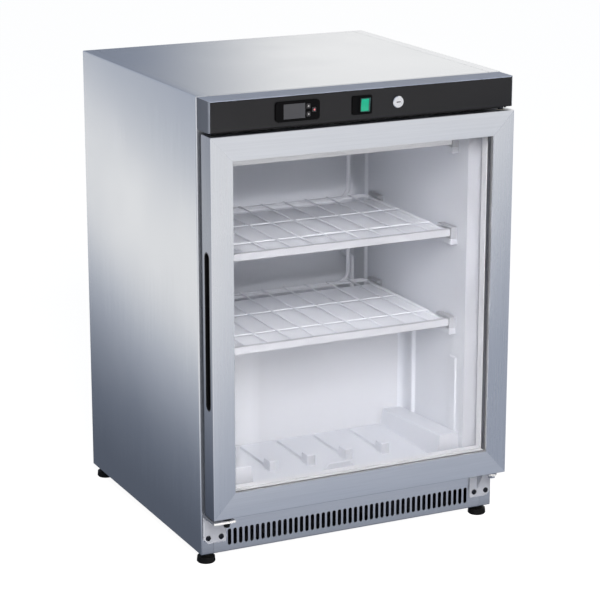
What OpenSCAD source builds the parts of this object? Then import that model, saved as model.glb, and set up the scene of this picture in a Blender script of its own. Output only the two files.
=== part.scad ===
// Under-counter display freezer with one glass door, three evaporator shelves and a machine bay.
// Millimetres, +Z up, the door faces -Y, origin on the ground under the middle of the outline.

/* [Cabinet] */
// Width over the side panels
cab_w = 600; // [570:1:640]
// Depth of the cabinet without the door
cab_d = 547; // [535:1:580]
// Height over all, feet included
cab_h = 855; // [840:1:890]
// Height of the feet below the cabinet
foot_h = 20; // [17:1:26]
// Thickness of the outer sheet
sheet_t = 1; // [0.8:0.1:1.2]
// Width of the folds along the edges of the side panels
fold_w = 24; // [22:1:26]
// Outer radius of the folds
fold_r = 2.5; // [2:0.1:3.5]
// Width of the seams between neighbouring sheets
seam = 0.4; // [0.2:0.1:0.6]

/* [Insulated box] */
// Thickness of each side wall
side_wall = 65.5; // [62:0.5:70]
// Thickness of the back wall
back_wall = 86; // [80:1:94]
// Thickness of the top wall
top_wall = 87; // [84:1:92]
// Height of the inner floor above the ground
floor_z = 125; // [123:0.5:129]
// Thickness of the insulation under the floor
floor_wall = 50; // [46:1:54]
// Depth of the lower compartment, up to the machine step
step_y = 246; // [236:1:256]
// Height of the top of the machine step above the ground
step_z = 345; // [335:1:352]
// Thickness of the insulation around the machine step
step_wall = 52; // [46:1:56]
// Thickness of the moulded liner
liner_t = 2.5; // [2:0.1:3]
// Inner radius of the liner's upright corners
liner_r = 14; // [8:1:15]
// Height of the ledges beside the floor
ledge_h = 30; // [24:1:36]
// Width of the ledges at their foot
ledge_w = 46; // [40:1:50]
// Spacing of the ribs on the floor
floor_rib_pitch = 78; // [68:1:82]
// Height of the pads at the front of the floor ribs
pad_h = 20; // [14:1:24]

/* [Shelves] */
// Height of the lowest shelf's surface above the ground
shelf_low_z = 384; // [378:1:392]
// Distance of the highest shelf's surface below the ceiling
shelf_top_drop = 40; // [36:1:46]
// Diameter of the refrigerant tube
tube_d = 8; // [7:0.5:9]
// Spacing of the tube's runs
tube_pitch = 54.5; // [53:0.5:56]
// Distance of the shelf's front rod behind the front of the cabinet
shelf_front = 42; // [38:1:46]
// Distance of the shelf's rear rod in front of the back wall
shelf_rear = 73; // [68:1:80]
// Thickness of the plate under the wires
shelf_plate = 1.2; // [0.8:0.1:1.6]
// Diameter of the shelf wires
wire_d = 3; // [2.5:0.1:3.4]
// Spacing of the shelf wires
wire_pitch = 47; // [42:0.5:48]
// Diameter of the rod round the shelf
rod_d = 6; // [5:0.5:6.5]
// Wall of the white front trim
trim_t = 2; // [1.6:0.1:2.4]
// Length of the clips that hold the shelf to the side walls
clip_l = 56; // [48:1:60]

/* [Door] */
// Distance from the front of the cabinet to the front of the door
door_reach = 55; // [53:0.5:58]
// Height of the bottom of the door above the ground
door_z0 = 104; // [103:0.5:106]
// Distance from the edge of the cabinet to the edge of the door
door_inset = 2.2; // [1:0.1:3]
// Width of the upright door profiles
stile_w = 42; // [40:0.5:44]
// Width of the upper door profile
top_rail_w = 44; // [42:0.5:48]
// Width of the lower door profile
bottom_rail_w = 47; // [43:0.5:50]
// Wall of the hollow door profiles
profile_t = 2.5; // [2:0.1:2.8]
// Edge radius of the door profiles
door_r = 1.6; // [1:0.1:2.4]
// Thickness of the front lip that covers the edge of the glass
lip_t = 6; // [4:0.5:7]
// Width of the rebate that holds the glass
rebate_w = 12; // [10:0.5:13]
// Thickness of each pane
pane_t = 4; // [3:0.5:5]
// Width of the air gap between the panes
pane_gap = 12; // [9:0.5:13]
// Width of the spacer between the panes
spacer_w = 10; // [8:0.5:10]
// Thickness of the inner frame's rear flange
inner_flange_t = 2; // [1.6:0.1:3]
// Thickness of the seal between the door and the cabinet
seal_t = 12.6; // [11:0.1:14]
// Width of the seal
seal_w = 17; // [14:0.5:17.5]
// Height of the lower end of the grip recess above the bottom of the door
grip_z = 199; // [180:1:220]
// Length of the grip recess
grip_l = 287; // [240:1:320]
// Width of the grip recess
grip_w = 22; // [18:0.5:24]
// Depth of the grip recess
grip_d = 26; // [18:0.5:26.5]
// Wall of the grip cup
grip_t = 2; // [1.5:0.1:2.5]

/* [Hinges] */
// Diameter of the hinge pins
pin_d = 10; // [8:0.5:11]
// Radial play of the pins in the door bushes
pin_play = 0.05; // [0.03:0.01:0.08]
// Distance of the pin from the edge of the door
pin_inset = 18; // [17:0.5:20]
// Distance of the pin in front of the cabinet
pin_y = 36; // [34:0.5:38]
// Thickness of the bracket steel
bracket_t = 4; // [3:0.5:4.2]
// Width of the bracket plate
bracket_w = 45; // [42:1:48]
// Height of the lower edge of the bracket plate above the ground
bracket_z = 42; // [38:1:44]
// Diameter of the bracket screws
screw_d = 5; // [4:0.5:6]

/* [Fascia] */
// Height of the fascia, lower lip included
fascia_h = 57.4; // [56:0.1:60]
// Distance from the front of the cabinet to the front of the fascia
fascia_reach = 50; // [48:0.5:51.5]
// Wall of the fascia
fascia_t = 3; // [2.4:0.1:3.6]
// Radius of the fascia's upright front edges
fascia_r = 6; // [4:0.5:8]
// Height of the set-back lower lip
fascia_lip_h = 2.5; // [2:0.5:4]
// Set-back of the lower lip
fascia_lip_in = 9; // [6:0.5:10]
// Gap between the door and the fascia
door_fascia_gap = 3.4; // [2.5:0.1:4.5]
// Drop of the fascia's top below the cabinet top
fascia_drop = 1.6; // [0:0.1:2.5]

/* [Controls] */
// Sideways place of the temperature controller
ctl_x = -133; // [-140:1:-126]
// Width of the controller bezel
ctl_w = 84; // [80:1:88]
// Height of the controller bezel
ctl_h = 35; // [33:0.5:37]
// Sideways place of the rocker switch
switch_x = -2; // [-8:1:6]
// Width of the switch frame
switch_w = 25; // [24:0.5:27]
// Height of the switch frame
switch_h = 31; // [30:0.5:33]
// Tilt of the rocker to each side, in degrees
rocker_tilt = 6; // [4:0.5:7]
// Sideways place of the lock
lock_x = 62; // [56:1:70]
// Diameter of the lock's collar
lock_d = 21; // [20:0.5:23]
// Diameter of the turning plug
plug_d = 13; // [12:0.5:14]
// Length of the lock cam from the plug's axis
cam_l = 41; // [39:0.5:42]

/* [Grille] */
// Height of the grille panel's top above the ground
grille_z1 = 92; // [88:1:96]
// Number of slots
slot_n = 45; // [39:2:45]
// Spacing of the slots
slot_pitch = 11.1; // [10:0.1:11.2]
// Width of a slot
slot_w = 7; // [6:0.5:7.5]
// Height of the lower end of the slots above the ground
slot_z0 = 32; // [30:1:36]
// Length of a slot
slot_h = 31; // [26:0.5:32]

/* [Machine bay] */
// Sideways place of the compressor
comp_x = -130; // [-140:1:-125]
// Radius of the compressor shell
comp_r = 75; // [70:1:78]
// Height of the compressor shell
comp_h = 176; // [160:1:184]
// Sideways place of the condenser
cond_x = 140; // [132:1:146]
// Width of the condenser
cond_w = 220; // [210:1:226]
// Height of the condenser
cond_h = 200; // [190:1:204]
// Radius of the fan
fan_r = 84; // [78:1:86]
// Diameter of the fan shaft
shaft_d = 6; // [5:0.5:7]

/* [Hidden] */
$fn = 48;

// Small clearances between fitted pieces, and the overlap of a cut past a face
fit = 0.1;
gap = 0.3;
cut = 1;

// Main planes. y is counted from the front of the cabinet, and front_y brings it to the part's origin.
front_y = (door_reach - cab_d) / 2;
half_w = cab_w / 2;
mid_w = half_w - fold_w - seam;
in_w = half_w - side_wall;
in_d = cab_d - back_wall;
ceil_z = cab_h - top_wall;
under_z = floor_z - liner_t - floor_wall;
bay_y = step_y + liner_t + step_wall;
bay_z = step_z - liner_t - step_wall;
pan_t = 1.5;
pan_z = foot_h + sheet_t + pan_t;
lip_fold = 12;
toe_fold = 8;
joggle_w = 18;
rail_lap = 6;

// Shelves
shelf_top_z = ceil_z - shelf_top_drop;
shelf_mid_z = (shelf_low_z + shelf_top_z) / 2;
shelf_z = [shelf_low_z, shelf_mid_z, shelf_top_z];
rod_x = in_w - 9;
rear_rod_y = in_d - shelf_rear;
run_n = 7;
last_run_y = rear_rod_y + 12;
first_run_y = last_run_y - (run_n - 1) * tube_pitch;
run_x = in_w - 64.5;
leg_x = -(in_w - liner_r - 7);
leg_r = 20;
riser_r = 25;
riser_x = run_x + riser_r;
leg_end_y = rear_rod_y - riser_r - 8;
suction_x = in_w - liner_r - 6;
suction_y = in_d - 42;
suction_end_z = step_z - 10;
weld = 0.3;
plate_drop = rod_d - 0.4;
tube_drop = plate_drop - weld + tube_d / 2;
clip_drop = 14;
wire_half = floor((rod_x - 20) / wire_pitch);
trim_end = rod_x - rod_d / 2 - 1.5;

// Door
door_half = half_w - door_inset;
fascia_z1 = cab_h - fascia_drop;
fascia_z0 = fascia_z1 - fascia_h;
fascia_main_z0 = fascia_z0 + fascia_lip_h;
door_z1 = fascia_z0 - door_fascia_gap;
slab_y = -(seal_t + inner_flange_t + seam);
open_half = door_half - stile_w;
open_z0 = door_z0 + bottom_rail_w;
open_z1 = door_z1 - top_rail_w;
pane_y0 = -door_reach + lip_t + fit;
pane_y1 = pane_y0 + pane_t + pane_gap;
glazing_back_y = pane_y1 + pane_t;
pane_in = 1;
grip_y = (slab_y - door_reach) / 2;

// Hinges
pin_x = door_half - pin_inset;
bush_r = pin_d / 2 + 3;
bush_l = 15;
pin_reach = 12;
nut_d = pin_d + 5;
arm_z1 = door_z0 - 5;
arm_z0 = arm_z1 - bracket_t;
arm_y = -(door_reach - 2);
plate_t = 3;
bracket_x1 = half_w - 3;
bracket_x0 = bracket_x1 - bracket_w;
screw_z = bracket_z + 10.5;
screw_xs = [bracket_x0 + 10, bracket_x1 - 10];
upper_arm_z = fascia_main_z0 + fascia_t + gap;
plug_in = 12;

// Controls
control_z = (fascia_z1 + fascia_z0) / 2 + 1;
control_y = -fascia_reach;
bezel_t = 3.8;
window_w = 41;
window_h = 26;
window_x = ctl_x - 6.5;
key_w = 7.4;
key_h = 8.4;
key_play = 0.3;
key_t = 3.2;
key_proud = 1;
key_pocket = 3;
key_x = [ctl_x + 20, ctl_x + 20, ctl_x + 31];
key_z = [control_z + 7, control_z - 7, control_z];
rocker_w = switch_w - 5.6;
rocker_h = switch_h - 6.4;
rocker_face = 3.8;
rocker_y = control_y + 1;
rocker_pin_d = 3;
plug_play = 0.05;
lock_proud = 4.8;
cam_w = 12;
cam_t = 3;
cam_y = control_y + 25.5;
tenon = 6;

// Machine bay
comp_y = (bay_y + cab_d) / 2;
mount_h = 14;
comp_z = pan_z + mount_h;
comp_foot = [80, 45];
stub_y = 25;
suction_stub_z = 84;
discharge_stub_z = 54;
cond_y = bay_y + 30;
cond_t = 48;
cond_x0 = cond_x - cond_w / 2;
fin_n = 14;
fin_t = 1.2;
cond_tube_d = 9;
cond_rows = 4;
cond_lead = 8;
fan_y = cond_y + cond_t + 9;
fan_z = pan_z + cond_h / 2 + 8;
shroud_t = 3;
shroud_y = fan_y + 9;
motor_r = 30;
motor_l = 44;
hub_r = 22;
blade_n = 5;
pipe_d = 7;
tray_h = 24;
foot_x = half_w - fold_w / 2 - 6;
foot_y = [20, cab_d - 24];
stud_d = 8;

// Helpers

// Box between two corners
module block(lo, hi) translate(lo) cube(hi - lo);

// Round bar between two points
module bar(a, b, d) {
    run = b - a;
    translate(a)
        rotate([0, acos(run[2] / norm(run)), atan2(run[1], run[0])])
            cylinder(d = d, h = norm(run));
}

// Pipe through a list of points, with round elbows
module pipe(points, d) {
    for (i = [0 : len(points) - 2]) bar(points[i], points[i + 1], d);
    for (i = [1 : 1 : len(points) - 2]) translate(points[i]) sphere(d = d);
}

// Part of a ring of tube about +Z, from the +X direction
module bend(r, turn, d) rotate_extrude(angle = turn) translate([r, 0]) circle(d = d);

// Flat rectangle with round corners
module round_rect(lo, hi, r) {
    translate([lo[0] + r, lo[1]]) square([hi[0] - lo[0] - 2 * r, hi[1] - lo[1]]);
    translate([lo[0], lo[1] + r]) square([hi[0] - lo[0], hi[1] - lo[1] - 2 * r]);
    for (x = [lo[0] + r, hi[0] - r], y = [lo[1] + r, hi[1] - r]) translate([x, y]) circle(r);
}

// Flat slot with round ends, standing upright on its lower end
module stadium(w, l) {
    translate([-w / 2, w / 2]) square([w, l - w]);
    for (y = [w / 2, l - w / 2]) translate([0, y]) circle(d = w);
}

// Extrudes a front view, given in x and z, from y0 back to y1
module from_front(y0, y1) translate([0, y1, 0]) rotate([90, 0, 0]) linear_extrude(y1 - y0) children();

// Extrudes a side view, given in y and z, from x0 to x1
module from_side(x0, x1)
    translate([x0, 0, 0]) rotate([90, 0, 90]) linear_extrude(x1 - x0) children();

// Box with round upright and round lengthwise edges
module soft_block(lo, hi, r) {
    intersection() {
        translate([0, 0, lo[2]])
            linear_extrude(hi[2] - lo[2]) round_rect([lo[0], lo[1]], [hi[0], hi[1]], r);
        from_side(lo[0], hi[0]) round_rect([lo[1], lo[2]], [hi[1], hi[2]], r);
    }
}

// Puts a piece drawn from the front of the cabinet at its place in the part
module place() translate([0, front_y, 0]) children();

// A piece and its mirror image on the other side
module both() {
    children();
    mirror([1, 0, 0]) children();
}

// Outer sheet

// Outline of the cabinet, shrunk by g on every side
module envelope(g) {
    r = fold_r - g;
    intersection() {
        translate([0, 0, foot_h + g])
            linear_extrude(cab_h - foot_h - 2 * g)
                round_rect([-half_w + g, g], [half_w - g, cab_d - g], r);
        from_front(g, cab_d - g) round_rect([-half_w + g, foot_h + g], [half_w - g, cab_h - g], r);
        from_side(-half_w + g, half_w - g) round_rect([g, foot_h + g], [cab_d - g, cab_h - g], r);
    }
}

// The part of the outer sheet that lies in a box
module sheet(lo, hi) {
    intersection() {
        difference() {
            envelope(0);
            envelope(sheet_t);
        }
        block(lo, hi);
    }
}

module side_panel() {
    difference() {
        sheet([-half_w, 0, foot_h], [-half_w + fold_w, cab_d, cab_h]);
        screw_holes_left();
        for (y = foot_y)
            translate([-foot_x, y, foot_h - cut]) cylinder(d = stud_d + 2 * fit, h = toe_fold);
    }
}

module screw_holes_left()
    for (x = screw_xs)
        translate([-x, -cut, screw_z]) rotate([-90, 0, 0]) cylinder(d = screw_d + 2 * fit, h = toe_fold);

module left_side_panel() color("silver") place() side_panel();

module right_side_panel() color("silver") place() mirror([1, 0, 0]) side_panel();

module top_panel() color("gainsboro") place() {
    sheet([-mid_w, 0, cab_h - lip_fold], [mid_w, cab_d, cab_h]);
    both()
        block([mid_w - rail_lap, fold_r, cab_h - 2 * sheet_t - fit],
            [mid_w, cab_d - fold_r, cab_h - sheet_t]);
    both()
        block([mid_w - rail_lap, fold_r, cab_h - 2 * sheet_t - fit],
            [mid_w + joggle_w, cab_d - fold_r, cab_h - sheet_t - fit]);
}

// Infill sheet in the front or the back, with stepped edges behind the side folds
module infill(back, z0, z1) {
    y0 = back ? cab_d - sheet_t : 0;
    step0 = back ? cab_d - 2 * sheet_t - fit : sheet_t;
    step1 = back ? cab_d - sheet_t : 2 * sheet_t + fit;
    lap0 = back ? step0 : step0 + fit;
    lap1 = back ? step1 - fit : step1;
    sheet([-mid_w, y0, z0], [mid_w, y0 + sheet_t, z1]);
    both() block([mid_w - rail_lap, step0, z0 + fold_r], [mid_w, step1, z1]);
    both() block([mid_w - rail_lap, lap0, z0 + fold_r], [mid_w + joggle_w, lap1, z1]);
}

module back_panel() color("lightgray") place() infill(true, bay_z, cab_h - lip_fold - seam);

module rear_cover() color("lightgray") place() {
    louvre_n = 14;
    louvre_pitch = 13;
    louvre_l = 190;
    louvre_in = 30;
    louvre_w = 5;
    louvre_z = foot_h + 45;
    cord_notch_d = 14;
    cord_notch_z = foot_h + 24;
    difference() {
        infill(true, foot_h, bay_z - seam);
        for (i = [0 : louvre_n - 1])
            both()
                translate([mid_w - louvre_in, 0, louvre_z + i * louvre_pitch])
                    from_front(cab_d - toe_fold, cab_d + cut) rotate(90) stadium(louvre_w, louvre_l);
        translate([0, cab_d - toe_fold, cord_notch_z])
            rotate([-90, 0, 0]) cylinder(d = cord_notch_d, h = 2 * toe_fold);
    }
    sheet([-mid_w, cab_d - toe_fold, foot_h], [mid_w, cab_d, foot_h + sheet_t]);
}

module top_front_rail() color("silver") place()
    infill(false, ceil_z + rail_lap + seam, cab_h - lip_fold - seam);

module bottom_front_rail() color("silver") place()
    infill(false, grille_z1 + seam, floor_z - rail_lap - seam);

module grille_panel() color("silver") place() {
    difference() {
        infill(false, foot_h, grille_z1);
        for (i = [0 : slot_n - 1])
            translate([(i - (slot_n - 1) / 2) * slot_pitch, 0, slot_z0])
                from_front(-cut, toe_fold) stadium(slot_w, slot_h);
        both() screw_holes_left();
    }
    sheet([-mid_w, 0, foot_h], [mid_w, toe_fold, foot_h + sheet_t]);
}

// Insulated box

// Space inside the liner, grown by g. The lower part ends at the machine step.
module cavity(g, y0) {
    cavity_part(g, y0, step_y, floor_z);
    cavity_part(g, y0, in_d, step_z);
}

module cavity_part(g, y0, depth, z0) {
    r = liner_r + g;
    x = in_w + g;
    y = depth + g;
    translate([0, 0, z0 - g]) linear_extrude(ceil_z - z0 + 2 * g) {
        translate([-x, y0]) square([2 * x, y - r - y0]);
        translate([-x + r, y0]) square([2 * x - 2 * r, y - y0]);
        for (s = [-1, 1]) translate([s * (x - r), y - r]) circle(r);
    }
}

// Upright rib on the side wall, with sloping flanks
module wall_rib(y0, w, h, z0, z1) {
    translate([0, 0, z0])
        linear_extrude(z1 - z0)
            polygon([
                [in_w + liner_t / 2, y0], [in_w, y0], [in_w - h, y0 + h],
                [in_w - h, y0 + w - h], [in_w, y0 + w], [in_w + liner_t / 2, y0 + w]
            ]);
}

module inner_liner() color("white") place() {
    rib_h = 5.5;
    rib_w = 22;
    strip_h = 2.5;
    strip_w = 26;
    ledge_slope = 8;
    support_w = 14;
    support_h = 11;
    support_l = clip_l + 4;
    support_y = shelf_front - 8;
    strip_z = floor_z + 40;
    ledge_y = 62;
    pad = [86, 112];
    difference() {
        union() {
            cavity(liner_t, 0);
            block([-mid_w, 0, floor_z - rail_lap], [mid_w, liner_t, ceil_z + rail_lap]);
        }
        cavity(0, -cut);
        suction_hole();
    }
    // Ledges along the floor, ribs on the walls and the supports under the shelf clips
    both() {
        intersection() {
            from_front(ledge_y, step_y + liner_t)
                polygon([
                    [half_w, floor_z - liner_t], [in_w - ledge_w, floor_z - liner_t],
                    [in_w - ledge_w, floor_z], [in_w - ledge_w + ledge_slope, floor_z + ledge_h],
                    [half_w, floor_z + ledge_h]
                ]);
            cavity(liner_t / 2, 0);
        }
        wall_rib(in_d - 71, rib_w, rib_h, step_z, ceil_z);
        wall_rib(step_y - 60, rib_w, rib_h, floor_z + ledge_h, step_z);
        wall_rib(28, strip_w, strip_h, strip_z, step_z - 32);
        for (z = shelf_z)
            block([in_w - support_w, support_y, z - clip_drop - support_h],
                [in_w + liner_t / 2, support_y + support_l, z - clip_drop]);
    }
    // Ribs, pads and the middle boss of the floor
    for (i = [-1.5 : 1 : 1.5]) {
        x = i * floor_rib_pitch;
        block([x - 4, pad[0] + 12, floor_z - liner_t / 2], [x + 4, step_y - 16, floor_z + 6]);
        block([x - 8, pad[0], floor_z - liner_t / 2], [x + 8, pad[1], floor_z + pad_h]);
    }
    from_front(48, 58)
        polygon([
            [-34, floor_z - liner_t / 2], [34, floor_z - liner_t / 2], [34, floor_z],
            [21, floor_z + 12], [-21, floor_z + 12], [-34, floor_z]
        ]);
}

// Passage of the suction pipe through the machine step
module suction_hole()
    translate([suction_x, suction_y, bay_z - 10])
        cylinder(d = tube_d + 2 * fit, h = step_z - bay_z + 20);

module insulation() color("khaki") place() {
    x = half_w - sheet_t - fit;
    y1 = cab_d - 2 * sheet_t - 2 * fit;
    z1 = cab_h - 2 * sheet_t - 2 * fit;
    difference() {
        union() {
            block([-x, liner_t, bay_z], [x, y1, z1]);
            block([-x, liner_t, under_z], [x, bay_y, bay_z + cut]);
        }
        cavity(liner_t, -cut);
        suction_hole();
    }
}

module bay_lining() color("lightsteelblue") place() {
    x = half_w - sheet_t - fit;
    y0 = 2 * sheet_t + 2 * fit;
    y1 = cab_d - 2 * sheet_t - 2 * fit;
    difference() {
        from_side(-x, x)
            polygon([
                [y0, under_z], [bay_y, under_z], [bay_y, bay_z], [y1, bay_z], [y1, bay_z - sheet_t],
                [bay_y + sheet_t, bay_z - sheet_t], [bay_y + sheet_t, under_z - sheet_t],
                [y0, under_z - sheet_t]
            ]);
        suction_hole();
    }
}

module base_pan() color("darkgray") place() {
    x = half_w - fold_r - fit;
    y0 = toe_fold + gap;
    y1 = cab_d - toe_fold - gap;
    z0 = foot_h + sheet_t;
    edge_h = 18;
    boss_d = 18;
    boss_h = 14;
    difference() {
        union() {
            block([-x, y0, z0], [x, y1, pan_z]);
            block([-x, y1 - pan_t, z0], [x, y1, z0 + edge_h]);
            for (sx = [-1, 1], y = foot_y)
                translate([sx * foot_x, y, z0]) cylinder(d = boss_d, h = boss_h);
        }
        for (sx = [-1, 1], y = foot_y)
            translate([sx * foot_x, y, z0 - cut])
                cylinder(d = stud_d + fit, h = boss_h + 2 * cut);
    }
}

module foot(sx, y) place() {
    base_r = 17;
    neck_r = 11;
    top = foot_h - fit;
    stud_z = foot_h + 20;
    translate([sx * foot_x, y, 0])
        rotate_extrude()
            polygon([
                [0, 0], [base_r - 1.5, 0], [base_r, 2], [base_r - 1, 11], [neck_r, 14],
                [neck_r, top], [stud_d / 2, top], [stud_d / 2, stud_z], [0, stud_z]
            ]);
}

module front_left_foot() color("black") foot(-1, foot_y[0]);

module front_right_foot() color("black") foot(1, foot_y[0]);

module rear_left_foot() color("black") foot(-1, foot_y[1]);

module rear_right_foot() color("black") foot(1, foot_y[1]);

// Evaporator shelves

// Wires on a rod that runs all round, a plate below them and the tube snaking under the plate
module evaporator_shelf(z) place() translate([0, 0, z]) {
    rod_z = -rod_d / 2;
    wire_z = wire_d / 2 - weld;
    cross_d = wire_d - 0.4;
    cross_z = weld;
    cross_y = shelf_front + 81;
    cross_pitch = (rear_rod_y - cross_y) / 2 - 11;
    corner_r = 12;
    plate_x = rod_x - 1;
    plate_y = shelf_front + 1;
    plate_r = corner_r - 1;
    for (i = [0 : run_n - 1]) {
        y = first_run_y + i * tube_pitch;
        x0 = i == 0 ? leg_x + leg_r : -run_x;
        bar([x0, y, -tube_drop], [run_x, y, -tube_drop], tube_d);
    }
    for (i = [0 : run_n - 2])
        translate([i % 2 == 0 ? run_x : -run_x, first_run_y + (i + 0.5) * tube_pitch, -tube_drop])
            rotate(i % 2 == 0 ? -90 : 90) bend(tube_pitch / 2, 180, tube_d);
    translate([leg_x + leg_r, first_run_y + leg_r, -tube_drop]) rotate(180) bend(leg_r, 90, tube_d);
    bar([leg_x, first_run_y + leg_r, -tube_drop], [leg_x, leg_end_y, -tube_drop], tube_d);
    // Plate, ending before the risers
    translate([0, 0, -plate_drop])
        linear_extrude(shelf_plate) {
            translate([-plate_x, plate_y + plate_r])
                square([2 * plate_x, leg_end_y - 1 - plate_y - plate_r]);
            translate([-plate_x + plate_r, plate_y]) square([2 * (plate_x - plate_r), 2 * plate_r]);
            for (s = [-1, 1]) translate([s * (plate_x - plate_r), plate_y + plate_r]) circle(plate_r);
        }
    // Wires from front to back, cross wires and the rod
    for (i = [-wire_half : wire_half])
        bar([i * wire_pitch, shelf_front, wire_z], [i * wire_pitch, rear_rod_y, wire_z], wire_d);
    for (i = [0 : 2])
        translate([0, cross_y + i * cross_pitch, cross_z]) bar([-plate_x, 0, 0], [plate_x, 0, 0], cross_d);
    for (y = [shelf_front, rear_rod_y])
        bar([-rod_x + corner_r, y, rod_z], [rod_x - corner_r, y, rod_z], rod_d);
    for (s = [-1, 1]) {
        bar([s * rod_x, shelf_front + corner_r, rod_z], [s * rod_x, rear_rod_y - corner_r, rod_z], rod_d);
        translate([s * (rod_x - corner_r), shelf_front + corner_r, rod_z])
            rotate(s > 0 ? -90 : 180) bend(corner_r, 90, rod_d);
        translate([s * (rod_x - corner_r), rear_rod_y - corner_r, rod_z])
            rotate(s > 0 ? 0 : 90) bend(corner_r, 90, rod_d);
    }
}

module lower_evaporator_shelf() color("white") evaporator_shelf(shelf_z[0]);

module middle_evaporator_shelf() color("white") evaporator_shelf(shelf_z[1]);

module top_evaporator_shelf() color("white") evaporator_shelf(shelf_z[2]);

// White channel clipped over the front rod
module shelf_trim(z) place() {
    x = trim_end;
    y0 = shelf_front - rod_d / 2 - gap - trim_t;
    y1 = shelf_front + rod_d / 2 + 2;
    z0 = z - rod_d - gap;
    z1 = z + wire_d;
    difference() {
        block([-x, y0, z0 - trim_t], [x, y1, z1 + trim_t]);
        block([-x - cut, y0 + trim_t, z0], [x + cut, y1 + cut, z1]);
    }
}

module lower_shelf_trim() color("white") shelf_trim(shelf_z[0]);

module middle_shelf_trim() color("white") shelf_trim(shelf_z[1]);

module top_shelf_trim() color("white") shelf_trim(shelf_z[2]);

// Clip on the side wall, gripping the rod of the shelf between two jaws
module shelf_clip(y0, y1, z, closed) {
    jaw_x = trim_end + gap;
    jaw_t = 5;
    rod_z0 = z - rod_d - fit;
    difference() {
        block([jaw_x, y0, z - clip_drop], [in_w, y1, z + wire_d + jaw_t]);
        block([jaw_x - cut, closed ? y0 + 3 : y0 - cut, rod_z0],
            [rod_x + rod_d / 2 + gap, y1 + cut, z + wire_d]);
    }
}

module shelf_end_clips() color("white") place() {
    rear_clip_y = rear_rod_y - 62;
    rear_clip_l = 40;
    for (z = shelf_z)
        both() {
            shelf_clip(shelf_front - rod_d / 2 - gap - 4, shelf_front + clip_l - 12, z, true);
            shelf_clip(rear_clip_y, rear_clip_y + rear_clip_l, z, false);
        }
}

module evaporator_risers() color("white") place() {
    d = tube_d;
    low = shelf_z[0] - tube_drop;
    mid = shelf_z[1] - tube_drop;
    top = shelf_z[2] - tube_drop;
    wall_y = in_d;
    elbow_z = (low + mid) / 2;
    inlet_z = top - riser_r - leg_r;
    suction_z = elbow_z - 40;
    // Right riser, from the middle shelf up to the top shelf
    translate([run_x, last_run_y, mid + riser_r]) rotate([90, 0, 0]) rotate(-90) bend(riser_r, 90, d);
    bar([riser_x, last_run_y, mid + riser_r], [riser_x, last_run_y, top - riser_r], d);
    translate([run_x, last_run_y, top - riser_r]) rotate([90, 0, 0]) bend(riser_r, 90, d);
    // Right riser of the lowest shelf, turning into the back wall
    translate([run_x, last_run_y, low + riser_r]) rotate([90, 0, 0]) rotate(-90) bend(riser_r, 90, d);
    bar([riser_x, last_run_y, low + riser_r], [riser_x, last_run_y, elbow_z - riser_r], d);
    translate([riser_x, last_run_y + riser_r, elbow_z - riser_r])
        rotate([0, 0, 90]) rotate([90, 0, 0]) rotate(90) bend(riser_r, 90, d);
    bar([riser_x, last_run_y + riser_r, elbow_z], [riser_x, wall_y, elbow_z], d);
    // Left riser, from the lowest shelf to the middle one
    translate([leg_x, leg_end_y, low + riser_r])
        rotate([0, 0, 90]) rotate([90, 0, 0]) rotate(-90) bend(riser_r, 90, d);
    bar([leg_x, leg_end_y + riser_r, low + riser_r], [leg_x, leg_end_y + riser_r, mid - riser_r], d);
    translate([leg_x, leg_end_y, mid - riser_r])
        rotate([0, 0, 90]) rotate([90, 0, 0]) bend(riser_r, 90, d);
    // Inlet of the top shelf, out of the back wall
    translate([leg_x, leg_end_y, top - riser_r])
        rotate([0, 0, 90]) rotate([90, 0, 0]) bend(riser_r, 90, d);
    translate([leg_x, leg_end_y + riser_r + leg_r, top - riser_r])
        rotate([0, 0, 90]) rotate([90, 0, 0]) rotate(180) bend(leg_r, 90, d);
    bar([leg_x, leg_end_y + riser_r + leg_r, inlet_z], [leg_x, wall_y, inlet_z], d);
    // Suction tube, out of the back wall and down through the machine step
    pipe([
        [suction_x, wall_y, suction_z], [suction_x, suction_y, suction_z],
        [suction_x, suction_y, suction_end_z]
    ], d - 2 * fit);
}

// Fascia and controls

module fascia() color([0.16, 0.16, 0.17]) place() {
    x = door_half;
    r = 3;
    slot_x0 = lock_x - cam_w / 2 - 1;
    slot_x1 = lock_x + cam_l - 2;
    difference() {
        union() {
            intersection() {
                soft_block([-x, control_y, fascia_main_z0], [x, fascia_r, fascia_z1], r);
                translate([0, 0, fascia_main_z0])
                    linear_extrude(fascia_z1 - fascia_main_z0)
                        round_rect([-x, control_y], [x, fascia_r], fascia_r);
                block([-x, control_y, fascia_main_z0], [x, 0, fascia_z1]);
            }
            block([-x + fascia_lip_in, control_y + fascia_lip_in, fascia_z0],
                [x - fascia_lip_in, 0, fascia_main_z0 + cut]);
        }
        block([-x + fascia_t, control_y + fascia_t, fascia_main_z0 + fascia_t],
            [x - fascia_t, cut, fascia_z1 - fascia_t]);
        // Cut-outs for the controller, the switch and the lock
        block([ctl_x - ctl_w / 2 + 6, control_y - cut, control_z - ctl_h / 2 + 3],
            [ctl_x + ctl_w / 2 - 6, control_y + 2 * fascia_t, control_z + ctl_h / 2 - 3]);
        block([switch_x - switch_w / 2 + 1.5, control_y - cut, control_z - switch_h / 2 + 1.5],
            [switch_x + switch_w / 2 - 1.5, control_y + 2 * fascia_t, control_z + switch_h / 2 - 1.5]);
        translate([lock_x, control_y - cut, control_z])
            rotate([-90, 0, 0]) cylinder(d = lock_d - 3 + 2 * fit, h = 2 * fascia_t);
        // Slot for the lock cam and hole for the upper hinge pin
        block([slot_x0, cam_y - 2, fascia_z0 - cut],
            [slot_x1, cam_y + cam_t + 2, fascia_main_z0 + fascia_t + cut]);
        translate([pin_x, -pin_y, fascia_z0 - cut])
            cylinder(d = pin_d + 3, h = fascia_lip_h + 2 * fascia_t);
    }
}

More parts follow.
